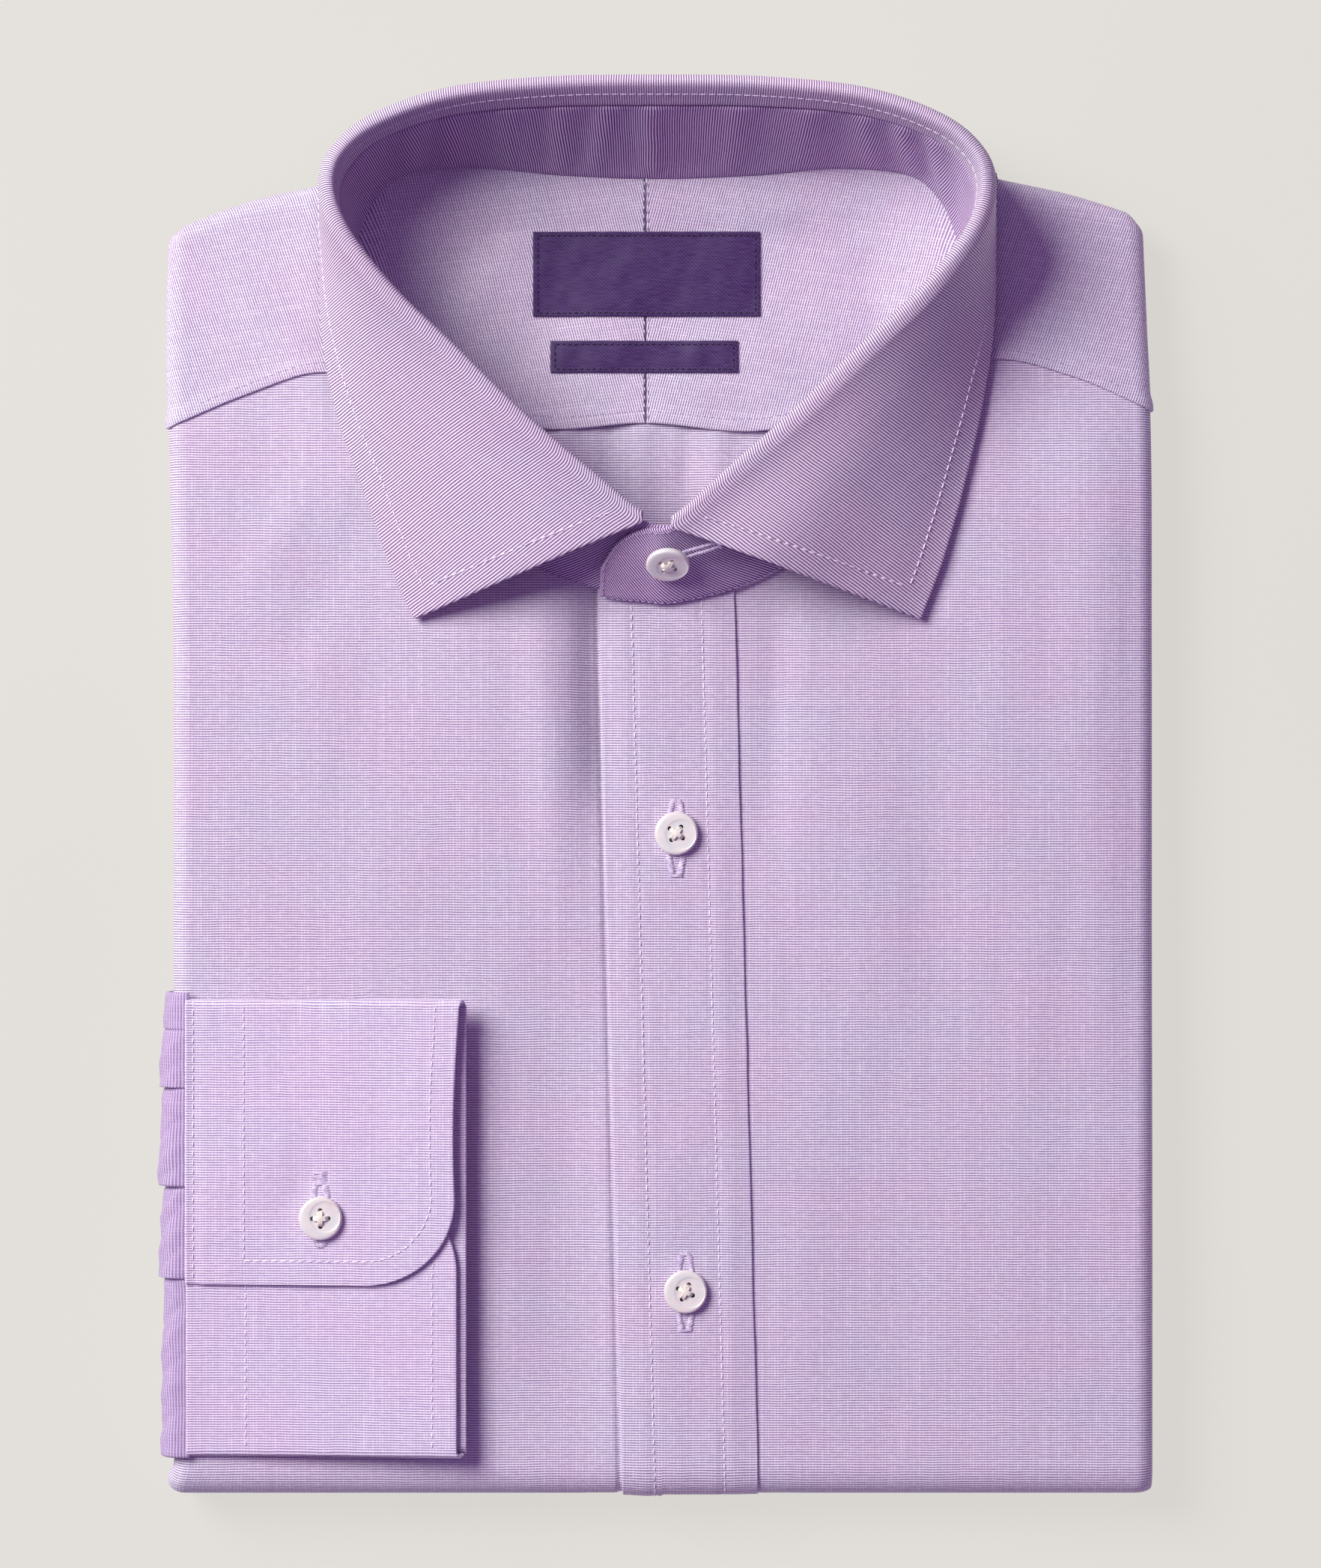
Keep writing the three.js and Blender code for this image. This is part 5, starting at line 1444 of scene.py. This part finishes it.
# %% [markdown]
# ## Buttons and buttonholes
# Mother-of-pearl buttons are cut from shell: creamy, glossy, with faint pink and green clouds. Each
# has a raised rim, a dished middle a little off centre, and four holes with cream thread across.
# A buttonhole is a slit edged on both sides with close stitches and closed by a bar at its end.

# %% Pearl
def mother_of_pearl():
    pearl = Finish("mother_of_pearl", Roughness=0.22, Coat_Weight=0.8, Coat_Roughness=0.08,
                   Specular_IOR_Level=0.6)
    spot = pearl.node("ShaderNodeTexCoord", {}, output=3)
    warped = pearl.node("ShaderNodeVectorMath", {"operation": "ADD"}, spot,
                        pearl.node("ShaderNodeTexNoise", {}, Vector=spot, Scale=160.0, output=1))
    clouds = pearl.noise(warped, 3.2, detail=4.0)
    bands = pearl.noise(spot, 420.0, detail=3.0).smooth(0.4, 0.6)
    base = pearl.blend_colors(paint(238, 232, 227), paint(222, 211, 199), clouds.smooth(0.5, 0.75))
    rosy = pearl.blend_colors(base, paint(244, 224, 222), clouds.smooth(0.42, 0.5) * 0.5)
    cool = pearl.blend_colors(rosy, paint(205, 222, 222), bands * 0.35)
    pearl.feed(Base_Color=cool, Roughness=bands.smooth(0, 1, 0.16, 0.3))
    return pearl.material


pearl = mother_of_pearl()


def button_mesh():
    """A turned disc with a rim and an off-centre dish, drilled with four holes."""
    profile = [
        (0.0, 0.0), (4.2, 0.0), (4.9, 0.25), (5.35, 0.75), (5.5, 1.2), (5.47, 1.7), (5.36, 2.0),
        (5.1, 2.18), (4.7, 2.25), (4.1, 2.27), (3.9, 2.24), (3.74, 2.16), (3.5, 2.11), (2.4, 2.1), (0.0, 2.1),
    ]
    sides = 56
    form = bmesh.new()
    rings = []
    for radius, height in profile:
        shift = 1.1 * min(max((5.1 - radius) / 1.2, 0), 1) if height > 2 else 0.0
        if radius == 0:
            rings.append([form.verts.new((shift, 0, height))])
            continue
        rings.append([form.verts.new((radius * math.cos(TURN * k / sides) + shift,
                                      radius * math.sin(TURN * k / sides) - shift * 0.5, height))
                      for k in range(sides)])
    for low, high in zip(rings, rings[1:]):
        for k in range(sides):
            n = (k + 1) % sides
            corners = [low[k % len(low)], low[n % len(low)], high[n % len(high)], high[k % len(high)]]
            unique = list(dict.fromkeys(corners))
            if len(unique) > 2:
                form.faces.new(unique)
    bmesh.ops.recalc_face_normals(form, faces=form.faces)
    mesh = bpy.data.meshes.new("button_disc")
    form.to_mesh(mesh)
    form.free()
    disc = bpy.data.objects.new("button_disc", mesh)
    bpy.context.scene.collection.objects.link(disc)
    drills = []
    for sx, sy in ((1, 1), (1, -1), (-1, 1), (-1, -1)):
        bpy.ops.mesh.primitive_cylinder_add(vertices=20, radius=0.6, depth=8,
                                            location=(sx * 1.42, sy * 1.42, 1.0))
        drills.append(bpy.context.active_object)
    for drill in drills:
        cut = disc.modifiers.new("hole", "BOOLEAN")
        cut.operation, cut.object, cut.solver = "DIFFERENCE", drill, "EXACT"
    depsgraph = bpy.context.evaluated_depsgraph_get()
    made = bpy.data.meshes.new_from_object(disc.evaluated_get(depsgraph))
    for extra in drills + [disc]:
        bpy.data.objects.remove(extra)
    made.shade_smooth()
    made.set_sharp_from_angle(angle=math.radians(48))
    return made


BUTTON = button_mesh()


def tube(points, radius, sides=7):
    """Vertices and faces of a round strand through points."""
    along = unit(np.gradient(points, axis=0))
    side = unit(np.cross(along, np.array([0.31, 0.2, 0.93])))
    other = np.cross(along, side)
    angles = np.linspace(0, TURN, sides, endpoint=False)[None, :, None]
    around = side[:, None] * np.cos(angles) + other[:, None] * np.sin(angles)
    return (points[:, None] + radius * around).reshape(-1, 3), ring_faces(len(points), sides)


def place_button(name, node, seat, across, normal, spin=0.0):
    """A button on its seat, with its thread from hole to hole."""
    normal = unit(np.asarray(normal, dtype=float))
    across = np.asarray(across, dtype=float)
    across = unit(across - (across @ normal) * normal)
    turned = across * math.cos(spin) + np.cross(normal, across) * math.sin(spin)
    axes = np.column_stack([turned, np.cross(normal, turned), normal])

    def seated(points):
        return np.asarray(seat) + points @ axes.T

    mesh = BUTTON.copy()
    mesh.name = name
    disc = seated(np.array([vertex.co[:] for vertex in mesh.vertices]))
    mesh.vertices.foreach_set("co", metres(disc).astype(np.float32).ravel())
    mesh.materials.clear()
    mesh.materials.append(pearl)
    mesh.update()
    button = bpy.data.objects.new(name, mesh)
    bpy.context.scene.collection.objects.link(button)
    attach(button, "root")
    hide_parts(node)
    random = np.random.default_rng(len(name))
    places = np.linspace(0, 1, 9)
    height = 2.0 + 0.7 * np.sin(math.pi * places) ** 0.5 - 1.2 * (np.abs(places - 0.5) > 0.49)
    for start, end in (((-1, -1), (1, 1)), ((-1, 1), (1, -1))):
        start, end = np.array(start) * 1.4, np.array(end) * 1.4
        beside = np.array([start[1] - end[1], end[0] - start[0]]) / np.linalg.norm(end - start)
        for strand in (-0.42, -0.14, 0.14, 0.42):
            flat = start + beside * strand + (end - start) * places[:, None] + random.normal(0, 0.03, 2)
            THREADS["button_threads"].append(tube(seated(np.column_stack([flat, height])), 0.25))


# %% Buttonholes and the four buttons
def dropped_onto(name, points):
    """Moves points straight up or down onto a piece's highest face."""
    grid = PIECES[name]["outer"].reshape(-1, 3)
    moved = points.copy()
    for point in moved:
        away = np.hypot(grid[:, 0] - point[0], grid[:, 1] - point[1])
        near = grid[away < 1.9]
        top = near[near[:, 2] > near[:, 2].max() - 0.7]
        closest = np.argsort(np.hypot(top[:, 0] - point[0], top[:, 1] - point[1]))[:3]
        point[2] = top[closest, 2].mean() + point[2]
    return moved


def buttonhole(centre, direction, normal, start, end, open_by=2.0, closed_by=0.95, reach=1.75,
               bar=1.5, fan=False, cloth=None):
    """Close stitches down both sides of a slit that opens towards its button, closed at its end."""
    direction, normal = unit(np.asarray(direction, float)), unit(np.asarray(normal, float))
    side = np.cross(normal, direction)
    random = np.random.default_rng(int(abs(start * 10)) + 5)

    def lay(places, directions, lengths, lift):
        middle = np.asarray(centre) + np.atleast_2d(places)
        if cloth:
            middle[:, 2] = lift
            middle = dropped_onto(cloth, middle)
        else:
            middle = middle + normal * lift
        lay_thread("buttonhole_thread", middle, np.atleast_2d(directions),
                   np.broadcast_to(normal, middle.shape), lengths, 0.4)

    for layer in range(2):
        steps = np.arange(start, end, 0.42) + layer * 0.21
        share = (steps - start) / max(end - start, 1e-6)
        for sign in (-1, 1):
            apart = mix(open_by, closed_by, share) + random.normal(0, 0.06, len(steps))
            lean = side * sign + direction * random.normal(0.45 - 0.6 * layer, 0.16, (len(steps), 1))
            lay(direction * steps[:, None] + side * (sign * apart)[:, None], lean,
                reach * random.uniform(0.8, 1.08, len(steps)), 0.14 + 0.13 * layer)
    if fan:
        for angle in np.linspace(-1.5, 1.5, 13):
            spoke = direction * math.cos(angle) + side * math.sin(angle)
            lay(direction * end + spoke * (closed_by + 0.2), spoke, np.array([reach * 0.9]), 0.2)
    for k in range(int(bar / 0.34)):
        lay(direction * (end + k * 0.34), side + direction * random.normal(0, 0.08),
            np.array([2 * closed_by + 1.9 * random.uniform(0.9, 1.05)]), 0.26)


CLOTH_UP = np.array([0, 0, 1.0])


def surface_at(name, x, y):
    """The highest place on a piece's face near x, y."""
    points = PIECES[name]["outer"].reshape(-1, 3)
    near = np.hypot(points[:, 0] - x, points[:, 1] - y) < 1.6
    return np.array([x, y, points[near, 2].max()])


for name, node, cloth, (x, y), spin in (
    ("button_upper_pearl", "button_front_upper", "placket_cloth", UPPER_BUTTON, 0.15),
    ("button_lower_pearl", "button_front_lower", "placket_cloth", LOWER_BUTTON, 0.35),
    ("button_cuff_pearl", "button_cuff", "cuff_cloth", CUFF_BUTTON, 0.8),
):
    lip = surface_at(cloth, x, y)
    place_button(name, node, lip + CLOTH_UP * 0.3, (1, 0, 0), CLOTH_UP, spin)
    if cloth == "cuff_cloth":
        buttonhole(lip, (0, 1, 0), CLOTH_UP, 4.2, 8.4, closed_by=1.2, bar=3.6, cloth=cloth)
        buttonhole(lip, (0, -1, 0), CLOTH_UP, 4.2, 5.6, closed_by=1.3, reach=1.5, bar=0,
                   fan=True, cloth=cloth)
    else:
        top, bottom = (7.0, 10.6) if node == "button_front_upper" else (8.2, 9.8)
        buttonhole(lip, (0, 1, 0), CLOTH_UP, 4.6, top, open_by=1.7, closed_by=1.1, reach=1.5, bar=0,
                   fan=True, cloth=cloth)
        buttonhole(lip, (0, -1, 0), CLOTH_UP, 4.4, bottom, bar=1.0, cloth=cloth)

station, up = np.array([11.3]), np.array([0.58])
band_across = (stand_middle(station - 0.05, up) - stand_middle(station + 0.05, up))[0]
band_rise = (stand_middle(station, up + 0.05) - stand_middle(station, up - 0.05))[0]
band_normal = unit(np.cross(unit(band_across), unit(band_rise)))
seat = stand_middle(station, up)[0] + band_normal * (COLLAR_CLOTH / 2 + 0.5) + (1.3, 0.1, 0)
tilted = unit(band_normal + np.array([0, -0.2, 0]))
place_button("button_collar_pearl", "button_collar", seat, band_across, tilted, 0.2)
buttonhole(seat - band_normal * 0.45, unit(band_across + 0.12 * band_rise), band_normal, 4.4, 13.6,
           open_by=0.85, closed_by=0.75, reach=1.0, bar=0.8)

# %% All threads as joined meshes
for group, strands in THREADS.items():
    points, faces, count = [], [], 0
    for strand, strand_faces in strands:
        points.append(strand)
        faces += [[corner + count for corner in face] for face in strand_faces]
        count += len(strand)
    threads = build_mesh(group, np.concatenate(points), faces, THREAD_FINISH[group])
    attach(threads, "root")
    "label" if group == "stitches_label" else "shirt_cloth"
    print(group, len(strands), "threads")

# %% [markdown]
# ## Floor, light and camera
# The shirt lies on a pale warm ground. A large soft light stands at the upper left, as the shadows
# to the right of the cuff and collar show, and a weak light from all round fills them. The camera
# looks straight down from 1.4 m, which is what the size of the collar against the body asks for.

# %% Floor
ground = Finish("pale_ground", Roughness=0.9, Emission_Strength=0.86)
ground_spot = ground.node("ShaderNodeTexCoord", {}, output=3)
ground_tone = ground.noise(ground_spot, 3.0).smooth(0.3, 0.7)
ground.feed(
    Base_Color=ground.blend_colors(paint(80, 79, 76), paint(83, 81, 78), ground_tone),
    Emission_Color=ground.blend_colors(paint(226, 224, 218), paint(228, 226, 220), ground_tone))
bpy.ops.mesh.primitive_plane_add(size=8, location=(0, 0, -0.0002))
floor = bpy.context.active_object
floor.name = "ground"
floor.data.materials.append(ground.material)

# %% Light
scene = bpy.context.scene
scene.view_settings.view_transform = "Standard"
world = bpy.data.worlds.new("studio")
world.use_nodes = True
background = world.node_tree.nodes["Background"].inputs
background["Color"].default_value = (1.0, 0.58, 1.4, 1.0)
background["Strength"].default_value = 0.2
scene.world = world

window = bpy.data.lights.new("window", "AREA")
window.shape, window.size, window.energy, window.color = "DISK", 1.4, 74, (1.0, 1.0, 0.94)
window_light = bpy.data.objects.new("window", window)
window_light.location = Vector((-0.58, 0.41, 0.70)).normalized() * 2.4
window_light.rotation_euler = (-window_light.location).to_track_quat("-Z", "Y").to_euler()
scene.collection.objects.link(window_light)

# %% Camera
PHOTO_HEIGHT = 2094
MM_PER_PIXEL = 0.19275
CAMERA_HEIGHT = 1.4
camera_data = bpy.data.cameras.new("overhead")
camera = bpy.data.objects.new("overhead", camera_data)
scene.collection.objects.link(camera)
camera_data.sensor_fit = "VERTICAL"
camera_data.sensor_height = 36
camera_data.lens = 36 * CAMERA_HEIGHT * 1000 / (PHOTO_HEIGHT * MM_PER_PIXEL)
camera.location = (ORIGIN[0], ORIGIN[1], CAMERA_HEIGHT)
scene.camera = camera
